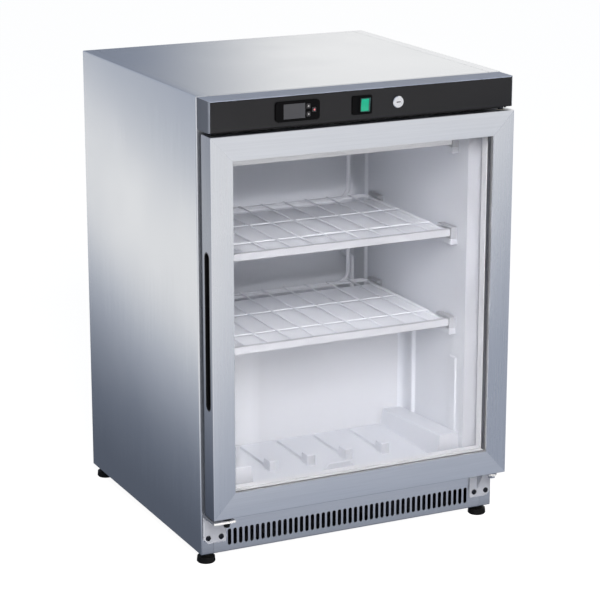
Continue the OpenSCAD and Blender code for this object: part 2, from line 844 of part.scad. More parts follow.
module controller_body() color([0.1, 0.1, 0.11]) place() {
    r = 6;
    body_in = 6.2;
    body_drop = 3.2;
    window_depth = 1.2;
    y1 = -6;
    difference() {
        union() {
            from_front(control_y - bezel_t, control_y)
                round_rect([ctl_x - ctl_w / 2, control_z - ctl_h / 2],
                    [ctl_x + ctl_w / 2, control_z + ctl_h / 2], r);
            block([ctl_x - ctl_w / 2 + body_in, control_y - fit, control_z - ctl_h / 2 + body_drop],
                [ctl_x + ctl_w / 2 - body_in, y1, control_z + ctl_h / 2 - body_drop]);
        }
        block([window_x - window_w / 2, control_y - bezel_t - cut, control_z - window_h / 2],
            [window_x + window_w / 2, control_y - bezel_t + window_depth, control_z + window_h / 2]);
        for (i = [0 : 2])
            key_block(i, key_play, control_y - bezel_t - cut, control_y - bezel_t + key_pocket);
    }
}

// Box of a key, grown by g at its sides
module key_block(i, g, y0, y1)
    block([key_x[i] - key_w / 2 - g, y0, key_z[i] - key_h / 2 - g],
        [key_x[i] + key_w / 2 + g, y1, key_z[i] + key_h / 2 + g]);

module controller_window() color([0.3, 0.31, 0.34]) place() {
    window_t = 1.1;
    block([window_x - window_w / 2 + fit, control_y - bezel_t, control_z - window_h / 2 + fit],
        [window_x + window_w / 2 - fit, control_y - bezel_t + window_t, control_z + window_h / 2 - fit]);
}

module controller_key(i) color([0.2, 0.2, 0.21]) place()
    key_block(i, 0, control_y - bezel_t - key_proud, control_y - bezel_t - key_proud + key_t);

module controller_key_up() controller_key(0);

module controller_key_down() controller_key(1);

module controller_key_set() controller_key(2);

module switch_frame() color([0.12, 0.13, 0.13]) place() {
    frame_t = 3;
    body_in = 1.7;
    window_play = 0.3;
    pocket = 12;
    y1 = -20;
    difference() {
        union() {
            from_front(control_y - frame_t, control_y)
                round_rect([switch_x - switch_w / 2, control_z - switch_h / 2],
                    [switch_x + switch_w / 2, control_z + switch_h / 2], 2);
            block([switch_x - switch_w / 2 + body_in, control_y - fit,
                    control_z - switch_h / 2 + body_in],
                [switch_x + switch_w / 2 - body_in, y1, control_z + switch_h / 2 - body_in]);
        }
        block([switch_x - rocker_w / 2 - window_play, control_y - frame_t - cut,
                control_z - rocker_h / 2 - 2 * window_play],
            [switch_x + rocker_w / 2 + window_play, control_y - frame_t + pocket,
                control_z + rocker_h / 2 + 2 * window_play]);
        translate([switch_x - switch_w / 2 + body_in, rocker_y, control_z])
            rotate([0, 90, 0]) cylinder(d = rocker_pin_d + 2 * pin_play, h = switch_w - 2 * body_in);
    }
}

// Rocker with a shallow dished face, tilted about its cross pin
module switch_rocker() color("mediumseagreen") place()
    translate([switch_x, rocker_y, control_z]) rotate([rocker_tilt, 0, 0]) {
        dish_r = 90;
        back = 4;
        pin_l = switch_w - 2 * 1.7 - 2 * fit;
        difference() {
            from_side(-rocker_w / 2, rocker_w / 2)
                polygon([
                    [-rocker_face, -rocker_h / 2], [-rocker_face, rocker_h / 2], [0, rocker_h / 2],
                    [back, rocker_h / 6], [back, -rocker_h / 6], [0, -rocker_h / 2]
                ]);
            translate([-rocker_w, -rocker_face - dish_r + 0.6, 0])
                rotate([0, 90, 0]) cylinder(r = dish_r, h = 2 * rocker_w);
        }
        translate([-pin_l / 2, 0, 0]) rotate([0, 90, 0]) cylinder(d = rocker_pin_d, h = pin_l);
    }

module lock_housing() color("silver") place() translate([lock_x, 0, control_z]) {
    barrel_y = cam_y - gap;
    difference() {
        rotate([90, 0, 0])
            rotate_extrude()
                polygon([
                    [0, -barrel_y], [lock_d / 2 - 1.5, -barrel_y], [lock_d / 2 - 1.5, -control_y],
                    [lock_d / 2, -control_y], [lock_d / 2, -control_y + lock_proud - 1],
                    [lock_d / 2 - 1, -control_y + lock_proud], [0, -control_y + lock_proud]
                ]);
        translate([0, control_y - 2 * lock_proud, 0])
            rotate([-90, 0, 0]) cylinder(d = plug_d + 2 * plug_play, h = 2 * fascia_reach);
    }
}

module lock_plug() color("silver") place() translate([lock_x, 0, control_z]) {
    face_y = control_y - lock_proud + gap;
    keyway = [8, 12, 1.8];
    difference() {
        union() {
            translate([0, face_y, 0]) rotate([-90, 0, 0]) cylinder(d = plug_d, h = cam_y - face_y);
            block([-tenon / 2, cam_y - cut, -tenon / 2], [tenon / 2, cam_y + cam_t + 1, tenon / 2]);
        }
        block([-keyway[0] / 2, face_y - cut, -keyway[2] / 2],
            [keyway[0] / 2, face_y + keyway[1], keyway[2] / 2]);
    }
}

// Flat cam on the plug's square end, pointing to the side when unlocked
module lock_cam() color("silver") place() translate([lock_x, 0, control_z]) {
    square_hole = tenon + 2 * fit;
    difference() {
        from_front(cam_y, cam_y + cam_t) {
            circle(d = cam_w);
            translate([0, -cam_w / 2]) square([cam_l - cam_w / 2, cam_w]);
            translate([cam_l - cam_w / 2, 0]) circle(d = cam_w);
        }
        block([-square_hole / 2, cam_y - cut, -square_hole / 2],
            [square_hole / 2, cam_y + 2 * cam_t, square_hole / 2]);
    }
}

// Hinges

// Plate on the cabinet front, with a cut corner and two screw holes
module hinge_plate() {
    corner = 9;
    difference() {
        from_front(-plate_t, 0)
            polygon([
                [bracket_x0, bracket_z], [bracket_x1 - corner, bracket_z],
                [bracket_x1, bracket_z + corner], [bracket_x1, arm_z1], [bracket_x0, arm_z1]
            ]);
        for (x = screw_xs)
            translate([x, -2 * plate_t, screw_z])
                rotate([-90, 0, 0]) cylinder(d = screw_d + 2 * fit, h = 3 * plate_t);
    }
}

// Plate with a tapered arm round the pin and a web under the arm
module lower_hinge_bracket() color("silver") place() {
    web_x = pin_x - nut_d / 2 - plate_t;
    web_y = -pin_y + 10;
    nose_r = pin_d / 2 + 4.5;
    difference() {
        union() {
            hinge_plate();
            translate([0, 0, arm_z0])
                linear_extrude(bracket_t) {
                    translate([pin_x, -pin_y]) circle(nose_r);
                    polygon([
                        [bracket_x0 + 3, -cut], [bracket_x1, -cut],
                        [pin_x + nose_r, -pin_y], [pin_x - nose_r, -pin_y]
                    ]);
                }
            from_side(web_x - plate_t / 2, web_x + plate_t / 2)
                polygon([
                    [-cut, bracket_z + 13], [-cut, arm_z0 + cut], [web_y, arm_z0 + cut], [web_y, arm_z0]
                ]);
        }
        translate([pin_x, -pin_y, bracket_z]) cylinder(d = pin_d, h = 2 * bracket_w);
    }
}

module lower_hinge_pin() color("dimgray") place() translate([pin_x, -pin_y, 0]) {
    nut_h = 5;
    collar_d = pin_d + 8;
    translate([0, 0, arm_z0 - nut_h]) cylinder(d = pin_d, h = door_z0 + pin_reach - arm_z0 + nut_h);
    translate([0, 0, arm_z0 - nut_h]) cylinder(d = nut_d, h = nut_h, $fn = 6);
    translate([0, 0, arm_z1]) cylinder(d = collar_d, h = door_z0 - gap - arm_z1);
}

module spare_hinge_bracket() color("silver") place() {
    difference() {
        mirror([1, 0, 0]) {
            hinge_plate();
            block([bracket_x0 + 3, arm_y, arm_z0], [bracket_x1, -cut, arm_z1]);
        }
        translate([-pin_x + plug_in, -pin_y - 6, arm_z0 - cut]) cylinder(d = pin_d, h = 2 * bracket_t);
    }
}

// Black plug in the unused pin hole of the spare bracket
module spare_bracket_plug() color("black") place() translate([-pin_x + plug_in, -pin_y - 6, 0]) {
    head_d = pin_d + 6;
    rotate_extrude()
        polygon([
            [0, arm_z0 - 10], [pin_d / 2, arm_z0 - 10], [pin_d / 2 + 2.5, arm_z0 - fit],
            [pin_d / 2 - fit, arm_z0 - fit], [pin_d / 2 - fit, arm_z1], [head_d / 2, arm_z1],
            [head_d / 2 - 1, door_z0 - 1], [0, door_z0 - 1]
        ]);
}

module bracket_screws() color("dimgray") place() {
    head_d = 2 * screw_d;
    head_t = 2.6;
    shank = plate_t + 6;
    for (s = [-1, 1], x = screw_xs)
        translate([s * x, -plate_t, screw_z]) {
            rotate([-90, 0, 0]) cylinder(d = screw_d, h = shank);
            difference() {
                rotate([90, 0, 0])
                    rotate_extrude()
                        polygon([
                            [0, 0], [head_d / 2, 0], [head_d / 2, head_t / 2],
                            [head_d / 3, head_t], [0, head_t]
                        ]);
                for (turn = [0, 90])
                    rotate([0, turn + 20, 0])
                        block([-head_d / 4, -2 * head_t, -0.6], [head_d / 4, -head_t / 2, 0.6]);
            }
        }
}

module upper_hinge_bracket() color("silver") place() {
    x0 = pin_x - 18;
    x1 = door_half - fascia_t - 2;
    z1 = fascia_z1 - fascia_t - 8;
    difference() {
        union() {
            block([x0, -plate_t, upper_arm_z], [x1, 0, z1]);
            block([x0, control_y + fascia_t + gap, upper_arm_z], [x1, -cut, upper_arm_z + bracket_t]);
        }
        translate([pin_x, -pin_y, upper_arm_z - cut]) cylinder(d = pin_d, h = 2 * bracket_t);
    }
}

module upper_hinge_pin() color("dimgray") place() translate([pin_x, -pin_y, 0]) {
    head_h = 4;
    translate([0, 0, door_z1 - pin_reach])
        cylinder(d = pin_d, h = upper_arm_z + bracket_t + head_h - door_z1 + pin_reach);
    translate([0, 0, upper_arm_z + bracket_t]) cylinder(d = pin_d + 6, h = head_h);
}

// Door

// Ring of four hollow profiles with the rebate for the glass, before it is cut at the mitres.
// Its outer edges are rounded along the uprights or along the cross profiles.
module door_ring(upright) {
    slot_x0 = lock_x - cam_w / 2 - 1.5;
    slot_x1 = lock_x + cam_l * 0.62;
    tip_z = control_z - cam_l;
    rebate_half = open_half + rebate_w;
    difference() {
        if (upright)
            translate([0, 0, door_z0])
                linear_extrude(door_z1 - door_z0)
                    round_rect([-door_half, -door_reach], [door_half, slab_y], door_r);
        else
            from_side(-door_half, door_half)
                round_rect([-door_reach, door_z0], [slab_y, door_z1], door_r);
        block([-open_half, -door_reach - cut, open_z0], [open_half, cut, open_z1]);
        block([-rebate_half, -door_reach + lip_t, open_z0 - rebate_w],
            [rebate_half, cut, open_z1 + rebate_w]);
        door_chamber(rebate_half + profile_t);
        // Bush pockets, cam slot and grip recess
        for (z = [door_z0 - cut, door_z1 - bush_l])
            translate([pin_x, -pin_y, z]) cylinder(r = bush_r + fit, h = bush_l + cut);
        block([slot_x0, cam_y - 2, tip_z - 2], [slot_x1, cam_y + cam_t + 2, door_z1 + cut]);
        grip_recess(0, cut);
    }
}

// Hollow running round inside the profiles
module door_chamber(x) {
    y0 = -door_reach + profile_t;
    y1 = slab_y - profile_t;
    rise = rebate_w + profile_t;
    difference() {
        block([-door_half + profile_t, y0, door_z0 + profile_t],
            [door_half - profile_t, y1, door_z1 - profile_t]);
        block([-x, y0 - cut, open_z0 - rise], [x, y1 + cut, open_z1 + rise]);
    }
}

// Upright recess in the left edge of the door, shrunk by g
module grip_recess(g, past)
    translate([0, grip_y, door_z0 + grip_z + g])
        from_side(-door_half - past, -door_half + grip_d - g) stadium(grip_w - 2 * g, grip_l - 2 * g);

// The part of the ring between corner i and the next one
module door_member(i) {
    intersection() {
        door_ring(i % 2 == 1);
        from_front(-door_reach - cut, cut) polygon(member_outline(i));
    }
}

// Corners of an upright rectangle, counted round from the lower left
function corners(x, z0, z1) = [[-x, z0], [x, z0], [x, z1], [-x, z1]];

// Mitred outline of the member between corner i and the next one
function member_outline(i) =
    let (
        j = (i + 1) % 4,
        outer = corners(door_half, door_z0, door_z1),
        inner = corners(open_half, open_z0, open_z1)
    )
    [outer[i], outer[j], inner[j], inner[i]];

module door_bottom_rail() color("silver") place() door_member(0);

module door_right_stile() color("silver") place() door_member(1);

module door_top_rail() color("silver") place() door_member(2);

module door_left_stile() color("silver") place() door_member(3);

// Pane of glass in the rebate
module pane(y0) {
    x = open_half + rebate_w - pane_in;
    block([-x, y0, open_z0 - rebate_w + pane_in], [x, y0 + pane_t, open_z1 + rebate_w - pane_in]);
}

module outer_glass() color([0.8, 0.9, 0.92, 0.3]) place() pane(pane_y0);

module inner_glass() color([0.8, 0.9, 0.92, 0.3]) place() pane(pane_y1);

// Flat ring between two front view rectangles
module ring(x1, z0, z1, w, y0, y1) {
    difference() {
        block([-x1, y0, z0], [x1, y1, z1]);
        block([-x1 + w, y0 - cut, z0 + w], [x1 - w, y1 + cut, z1 - w]);
    }
}

module glass_spacer() color("gray") place() {
    out = rebate_w - pane_in - 0.5;
    ring(open_half + out, open_z0 - out, open_z1 + out, spacer_w, pane_y0 + pane_t, pane_y1);
}

// Plastic frame that clamps the glass from behind and carries the seal
module door_inner_frame() color("gainsboro") place() {
    out = rebate_w - gap;
    edge = 3;
    difference() {
        union() {
            block([-open_half - out, glazing_back_y + fit, open_z0 - out],
                [open_half + out, slab_y, open_z1 + out]);
            block([-door_half + edge, slab_y, door_z0 + edge - 1.5],
                [door_half - edge, slab_y + inner_flange_t, door_z1 - edge + 0.5]);
        }
        block([-open_half, glazing_back_y - cut, open_z0], [open_half, cut, open_z1]);
    }
}

// Soft magnetic seal, a base with a narrower bellows in front of it
module door_gasket() color("dimgray") place() {
    x1 = pin_x;
    z0 = door_z0 + 1.5;
    z1 = door_z1 - 2.5;
    base_t = 3;
    waist = 3;
    ring(x1, z0, z1, seal_w, slab_y + inner_flange_t, slab_y + inner_flange_t + base_t);
    ring(x1 - waist, z0 + waist, z1 - waist, seal_w - 2 * waist,
        slab_y + inner_flange_t + base_t, slab_y + inner_flange_t + seal_t - base_t);
    ring(x1, z0, z1, seal_w, slab_y + inner_flange_t + seal_t - base_t, slab_y + inner_flange_t + seal_t);
}

// Black finger cup lining the recess
module grip_cup() color("black") place() {
    difference() {
        grip_recess(fit, 0);
        grip_recess(grip_t, cut);
    }
}

module door_bushes() color("ivory") place() {
    for (top = [0, 1])
        translate([pin_x, -pin_y, top ? door_z1 : door_z0])
            mirror([0, 0, top])
                difference() {
                    cylinder(r = bush_r, h = bush_l - gap);
                    translate([0, 0, -cut]) cylinder(d = pin_d + 2 * pin_play, h = pin_reach + 1 + cut);
                }
}

// Machine bay

// Welded hermetic shell on a foot plate, with three pipe stubs and a terminal box
module compressor() color([0.13, 0.13, 0.14]) place() translate([comp_x, comp_y, comp_z]) {
    plate = [comp_foot[0] + 15, comp_foot[1] + 15, 3];
    dome_r = 30;
    rim = 4;
    difference() {
        union() {
            block([-plate[0], -plate[1], 0], [plate[0], plate[1], plate[2]]);
            rotate_extrude()
                polygon([
                    [0, 0], [comp_r - 14, 0], [comp_r - 4, 10], [comp_r, 24], [comp_r, comp_h / 2],
                    [comp_r + rim, comp_h / 2], [comp_r + rim, comp_h / 2 + rim],
                    [comp_r, comp_h / 2 + rim],
                    [comp_r, comp_h - 40], [comp_r - 8, comp_h - 18], [comp_r - 26, comp_h - 4],
                    [dome_r, comp_h], [0, comp_h]
                ]);
            block([-comp_r - 22, -30, 40], [-comp_r + 8, 30, 90]);
            for (stub = [[stub_y, suction_stub_z], [-stub_y, discharge_stub_z]])
                bar([comp_r - 18, stub[0], stub[1]], [comp_r + 20, stub[0], stub[1]], pipe_d + 2);
        }
        for (x = [-1, 1], y = [-1, 1])
            translate([x * comp_foot[0], y * comp_foot[1], -cut]) cylinder(d = 9, h = 3 * plate[2]);
    }
}

// Rubber grommets under the compressor feet
module compressor_mounts() color([0.08, 0.08, 0.08]) place() translate([comp_x, comp_y, pan_z]) {
    for (x = [-1, 1], y = [-1, 1])
        translate([x * comp_foot[0], y * comp_foot[1], 0])
            rotate_extrude()
                polygon([
                    [0, 0], [12, 0], [12, 5], [9, 7], [12, 9], [12, mount_h], [4.4, mount_h],
                    [4.4, mount_h + 6], [0, mount_h + 6]
                ]);
}

// Finned coil: upright fins on rows of tube, with return bends at the ends
module condenser() color("silver") place() translate([cond_x, cond_y, pan_z]) {
    half = cond_w / 2;
    row_z = cond_h / (cond_rows + 1);
    fin_pitch = (cond_w - 24) / (fin_n - 1);
    tube_y = cond_t / 4;
    for (i = [0 : fin_n - 1]) {
        x = (i - (fin_n - 1) / 2) * fin_pitch;
        block([x - fin_t / 2, 0, 0], [x + fin_t / 2, cond_t, cond_h]);
    }
    for (k = [1 : cond_rows])
        bar([-half, tube_y, k * row_z], [half - row_z / 2, tube_y, k * row_z], cond_tube_d);
    for (k = [1 : 2 : cond_rows - 1])
        translate([half - row_z / 2, tube_y, (k + 0.5) * row_z])
            rotate([90, 0, 0]) rotate(-90) bend(row_z / 2, 180, cond_tube_d);
    translate([-half, tube_y, 2.5 * row_z])
        rotate([90, 0, 0]) rotate(90) bend(row_z / 2, 180, cond_tube_d);
    for (k = [1, cond_rows])
        bar([-half - cond_lead, tube_y, k * row_z], [-half + cut, tube_y, k * row_z], cond_tube_d);
}

// Fan shroud on the pan, with the motor held behind it by three arms
module fan_motor() color([0.2, 0.2, 0.22]) place() translate([cond_x, 0, 0]) {
    half = cond_w / 2 - 6;
    opening_r = fan_r + 4;
    arm_w = 10;
    motor_y = shroud_y + shroud_t + 6;
    difference() {
        block([-half, shroud_y, pan_z], [half, shroud_y + shroud_t, pan_z + cond_h]);
        translate([0, shroud_y - cut, fan_z])
            rotate([-90, 0, 0]) cylinder(r = opening_r, h = 3 * shroud_t);
    }
    translate([0, motor_y, fan_z]) rotate([-90, 0, 0]) cylinder(r = motor_r, h = motor_l);
    for (turn = [30, 150, 270])
        translate([0, 0, fan_z]) rotate([0, turn, 0]) {
            block([motor_r - 4, motor_y, -arm_w / 2], [opening_r + 6, motor_y + 4, arm_w / 2]);
            block([opening_r + 2, shroud_y + shroud_t - cut, -arm_w / 2],
                [opening_r + 6, motor_y + 4, arm_w / 2]);
        }
    translate([0, fan_y - 6, fan_z]) rotate([-90, 0, 0]) cylinder(d = shaft_d, h = motor_y - fan_y + 8);
}

// Hub and pitched blades, bored for the motor shaft
module fan_blade() color("dimgray") place() translate([cond_x, fan_y, fan_z]) {
    blade_w = 38;
    blade_t = 1.6;
    pitch = 20;
    hub_l = 12;
    difference() {
        union() {
            translate([0, -hub_l / 2, 0]) rotate([-90, 0, 0]) cylinder(r = hub_r, h = hub_l);
            intersection() {
                for (i = [0 : blade_n - 1])
                    rotate([0, i * 360 / blade_n, 0])
                        rotate([pitch, 0, 0])
                            block([hub_r - 4, -blade_t / 2, -blade_w / 2],
                                [fan_r + 4, blade_t / 2, blade_w / 2]);
                translate([0, -hub_r, 0]) rotate([-90, 0, 0]) cylinder(r = fan_r, h = 2 * hub_r);
            }
        }
        translate([0, -hub_l, 0]) rotate([-90, 0, 0]) cylinder(d = shaft_d + 2 * pin_play, h = 2 * hub_l);
    }
}

// Evaporation tray on top of the compressor
module drip_tray() color("dimgray") place() translate([comp_x, comp_y, comp_z + comp_h]) {
    x = 85;
    y = 65;
    t = 2;
    difference() {
        block([-x, -y, 0], [x, y, tray_h]);
        block([-x + t, -y + t, t], [x - t, y - t, tray_h + cut]);
    }
}

module refrigerant_pipes() color("peru") place() {
    stub_end = comp_x + comp_r + 20;
    high = bay_z - 28;
    drop_x = cond_x0 - 34;
    cond_end = cond_x0 - cond_lead;
    row_z = cond_h / (cond_rows + 1);
    lead_y = cond_y + cond_t / 4;
    lead_low = pan_z + row_z;
    lead_high = pan_z + cond_rows * row_z;
    suction_z = comp_z + suction_stub_z;
    discharge_z = comp_z + discharge_stub_z;
    drier_d = 16;
    drier_l = 60;
    capillary_d = 3;
    wall_y = bay_y + sheet_t;
    // Suction pipe from the machine step down to the compressor
    pipe([
        [suction_x, suction_y, suction_end_z], [suction_x, suction_y, high], [drop_x, suction_y, high],
        [drop_x, comp_y + stub_y, high], [drop_x, comp_y + stub_y, suction_z],
        [stub_end, comp_y + stub_y, suction_z]
    ], tube_d - 2 * fit);
    // Discharge pipe from the compressor to the upper end of the condenser
    pipe([
        [stub_end, comp_y - stub_y, discharge_z], [drop_x, comp_y - stub_y, discharge_z],
        [drop_x, lead_y, discharge_z], [drop_x, lead_y, lead_high], [cond_end, lead_y, lead_high]
    ], pipe_d);
    // Filter drier and capillary from the lower end of the condenser to the wall of the bay
    bar([cond_end, lead_y, lead_low], [drop_x, lead_y, lead_low], pipe_d);
    bar([drop_x, lead_y, lead_low], [drop_x - drier_l, lead_y, lead_low], drier_d);
    pipe([
        [drop_x - drier_l, lead_y, lead_low], [drop_x - drier_l - 20, lead_y, lead_low],
        [drop_x - drier_l - 20, lead_y, high], [drop_x - drier_l - 20, wall_y, high]
    ], capillary_d);
}

left_side_panel();
right_side_panel();
top_panel();
back_panel();
bay_lining();
base_pan();
insulation();
inner_liner();
top_front_rail();
bottom_front_rail();
grille_panel();
rear_cover();
fascia();
controller_body();
controller_window();
switch_frame();
lock_housing();
upper_hinge_bracket();
upper_hinge_pin();
lower_hinge_bracket();
lower_hinge_pin();
spare_hinge_bracket();
spare_bracket_plug();
bracket_screws();
front_left_foot();
front_right_foot();
rear_left_foot();
rear_right_foot();
lower_evaporator_shelf();
middle_evaporator_shelf();
top_evaporator_shelf();
lower_shelf_trim();
middle_shelf_trim();
top_shelf_trim();
shelf_end_clips();
evaporator_risers();
compressor();
compressor_mounts();
condenser();
fan_motor();
drip_tray();
refrigerant_pipes();
door_top_rail();
door_bottom_rail();
door_left_stile();
door_right_stile();
outer_glass();
inner_glass();
glass_spacer();
door_inner_frame();
door_gasket();
grip_cup();
door_bushes();
switch_rocker();
lock_plug();
lock_cam();
fan_blade();
controller_key_up();
controller_key_down();
controller_key_set();
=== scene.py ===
"""Looks of an under-counter display freezer with a glass door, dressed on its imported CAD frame.

Lengths are in metres in the frame of the CAD part: +Z up, the door faces -Y, origin on the ground.
"""

from __future__ import annotations

import logging
import math
from dataclasses import dataclass, field
from enum import Enum
from typing import Any, Callable, Sequence

import bpy
import numpy as np
from mathutils import Matrix, Vector

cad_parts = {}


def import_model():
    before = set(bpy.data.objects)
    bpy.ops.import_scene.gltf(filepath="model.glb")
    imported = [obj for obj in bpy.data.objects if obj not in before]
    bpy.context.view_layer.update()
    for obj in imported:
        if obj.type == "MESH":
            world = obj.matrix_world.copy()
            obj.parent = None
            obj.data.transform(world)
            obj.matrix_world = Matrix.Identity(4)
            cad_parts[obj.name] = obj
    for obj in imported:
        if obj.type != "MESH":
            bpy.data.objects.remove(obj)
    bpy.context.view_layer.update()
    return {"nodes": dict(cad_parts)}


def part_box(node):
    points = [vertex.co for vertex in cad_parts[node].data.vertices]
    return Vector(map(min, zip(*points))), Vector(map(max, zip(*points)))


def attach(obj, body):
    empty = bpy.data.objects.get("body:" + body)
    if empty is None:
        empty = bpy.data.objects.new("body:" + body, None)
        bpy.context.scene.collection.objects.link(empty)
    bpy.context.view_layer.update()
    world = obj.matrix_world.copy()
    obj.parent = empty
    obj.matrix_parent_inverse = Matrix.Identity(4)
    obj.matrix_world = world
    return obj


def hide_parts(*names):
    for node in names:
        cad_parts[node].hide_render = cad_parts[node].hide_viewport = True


LOG = logging.getLogger("display_freezer")
MM = 0.001
FACING = 0.9
WHITE = (1.0, 1.0, 1.0)

Array = np.ndarray
Chooser = Callable[[Array, Array], Array]
Colour = tuple[float, float, float]
Levels = tuple[tuple[float, float], ...]
Piece = bpy.types.Object
Point = tuple[float, float, float]
Socket = bpy.types.NodeSocket
Span = tuple[float, float]


class Grain(Enum):
    """Direction of the brushing on a metal sheet, as the stretch of its lines along x, y and z."""

    UPRIGHT = (0.30, 0.30, 0.004)
    SIDEWAYS = (0.004, 0.30, 0.30)
    INWARDS = (0.30, 0.004, 0.30)


class Body(Enum):
    """Bodies of the part that carry new pieces."""

    CABINET = "cabinet"
    DOOR = "door"
    SWITCH = "switch"
    LOCK = "lock"
    KEY_UP = "key_up"
    KEY_DOWN = "key_down"
    KEY_SET = "key_set"


# Node trees


@dataclass
class Bench:
    """Places and links the nodes of one tree, whose textures lie on one set of coordinates."""

    tree: bpy.types.NodeTree
    place: Socket | None = None

    @classmethod
    def on(cls, owner: bpy.types.Material | bpy.types.World) -> Bench:
        """Empties the node tree of a new material or world.

        Args:
            owner: The material or world.

        Returns:
            A bench on its tree.
        """
        owner.use_nodes = True
        owner.node_tree.nodes.clear()
        return cls(owner.node_tree)

    def add(self, kind: str, *values: Any, settings: dict | None = None, **named: Any) -> bpy.types.Node:
        """Adds a node.

        Args:
            kind: Blender's node type, without ShaderNode.
            values: Values or links of its first inputs, in order.
            settings: Attributes of the node to set.
            named: Values or links of inputs by name, with _ for a space.

        Returns:
            The new node.
        """
        node = self.tree.nodes.new(f"ShaderNode{kind}")
        for name, value in (settings or {}).items():
            setattr(node, name, value)
        for socket, value in zip(node.inputs, values):
            self.feed(socket, value)
        for name, value in named.items():
            self.feed(node.inputs[name.replace("_", " ")], value)
        return node

    def feed(self, socket: Socket, value: Any) -> None:
        """Links a socket to another socket, or sets its value.

        Args:
            socket: The input.
            value: An output socket or a plain value.
        """
        if isinstance(value, Socket):
            self.tree.links.new(value, socket)
        else:
            socket.default_value = value

    def join(self, kind: str, *values: Any, **settings: Any) -> Socket:
        """First output of a node whose inputs come in order, with some of its attributes set."""
        return self.add(kind, *values, settings=settings).outputs[0]

    def math(self, operation: str, first: Any, second: Any = 0.0) -> Socket:
        """Works out one step of arithmetic, by Blender's name of the operation."""
        return self.join("Math", first, second, operation=operation)

    def span(self, value: Any, low: float, high: float) -> Socket:
        """Stretches a value between 0 and 1 to the range from low to high."""
        return self.join("MapRange", value, 0.0, 1.0, low, high)

    def ease(self, value: Any, start: float, end: float, low: float = 0.0, high: float = 1.0) -> Socket:
        """Smooth step from low, where the value is at the start, to high, where it is at the end."""
        return self.join("MapRange", value, start, end, low, high, interpolation_type="SMOOTHSTEP")

    def noise(self, scale: Any, detail: float) -> Socket:
        """Noise on the coordinates of the tree."""
        return self.add("TexNoise", Vector=self.place, Scale=scale, Detail=detail).outputs["Fac"]

    def bump(self, height: Socket, strength: float, depth: float) -> Socket:
        """Turns a height into a normal, with a share of the bump and its depth in metres."""
        return self.add("Bump", Height=height, Strength=strength, Distance=depth).outputs["Normal"]

    def surface(self, **values: Any) -> Socket:
        """Adds the main shader, with some of its inputs by name."""
        return self.add("BsdfPrincipled", **values).outputs["BSDF"]

    def mix(self, factor: Any, first: Socket, second: Socket) -> Socket:
        """Mixes two shaders, with the factor as the share of the second."""
        return self.join("MixShader", factor, first, second)

    def blend(self, factor: Any, first: Any, second: Any) -> Socket:
        """Mixes two colours.

        Args:
            factor: Share of the second colour.
            first: Colour at 0.
            second: Colour at 1.

        Returns:
            The colour.
        """
        node = self.add("Mix", factor, settings={"data_type": "RGBA"})
        sockets = [socket for socket in node.inputs if socket.type == "RGBA"]
        for socket, colour in zip(sockets, (first, second)):
            self.feed(socket, rgba(colour) if isinstance(colour, tuple) else colour)
        return next(socket for socket in node.outputs if socket.type == "RGBA")

    def lay(self, pattern: Pattern, scale: float) -> bpy.types.NodeOutputs:
        """Puts a pattern into a material, as a node group that is made at its first use.

        Args:
            pattern: Turns a bench and a scale into the outputs of the group by name.
            scale: Features of the pattern per metre.

        Returns:
            The outputs of the group's node.
        """
        tree = bpy.data.node_groups.get(pattern.__name__)
        if not tree:
            tree = bpy.data.node_groups.new(pattern.__name__, "ShaderNodeTree")
            for label, kind in (("Vector", "Vector"), ("Scale", "Float")):
                tree.interface.new_socket(label, in_out="INPUT", socket_type=f"NodeSocket{kind}")
            source = tree.nodes.new("NodeGroupInput").outputs
            inside = Bench(tree, source["Vector"])
            made = pattern(inside, source["Scale"])
            for label in made:
                tree.interface.new_socket(label, in_out="OUTPUT", socket_type="NodeSocketFloat")
            sink = tree.nodes.new("NodeGroupOutput").inputs
            for label, value in made.items():
                inside.feed(sink[label], value)
        return self.add("Group", settings={"node_tree": tree}, Vector=self.place, Scale=scale).outputs


Pattern = Callable[[Bench, Socket], dict[str, Socket]]


def brush_lines(bench: Bench, scale: Socket) -> dict[str, Socket]:
    """Long fine scratches: a coarse and a finer noise on coordinates that a mapping has stretched.

    Args:
        bench: Bench on the group's tree.
        scale: Scale of the coarse noise.

    Returns:
        The tone and the height.
    """
    fineness, coarse_share = 4.0, 0.55
    coarse = bench.noise(scale, 3.0)
    fine = bench.noise(bench.math("MULTIPLY", scale, fineness), 2.0)
    tone = bench.math("ADD", bench.math("MULTIPLY", coarse, coarse_share),
                      bench.math("MULTIPLY", fine, 1.0 - coarse_share))
    return {"Tone": tone, "Height": fine}


def soft_cloud(bench: Bench, scale: Socket) -> dict[str, Socket]:
    """Slow cloudy change over a surface, as handling and casting leave it: a steepened noise."""
    start, end = 0.3, 0.7
    return {"Mask": bench.ease(bench.noise(scale, 3.0), start, end)}


def moulded_pebble(bench: Bench, scale: Socket) -> dict[str, Socket]:
    """Fine moulded texture: rounded cells with a noise on them."""
    cells = bench.add("TexVoronoi", settings={"feature": "SMOOTH_F1"}, Vector=bench.place, Scale=scale)
    return {"Height": bench.math("ADD", cells.outputs["Distance"], bench.noise(scale, 2.0))}


def rgba(colour: Colour) -> tuple[float, float, float, float]:
    """Adds full alpha to a colour."""
    return (*colour, 1.0)


def scaled(colour: Colour, factor: float) -> Colour:
    """Multiplies a colour and holds each channel at 1."""
    return tuple(min(1.0, channel * factor) for channel in colour)


# Finishes


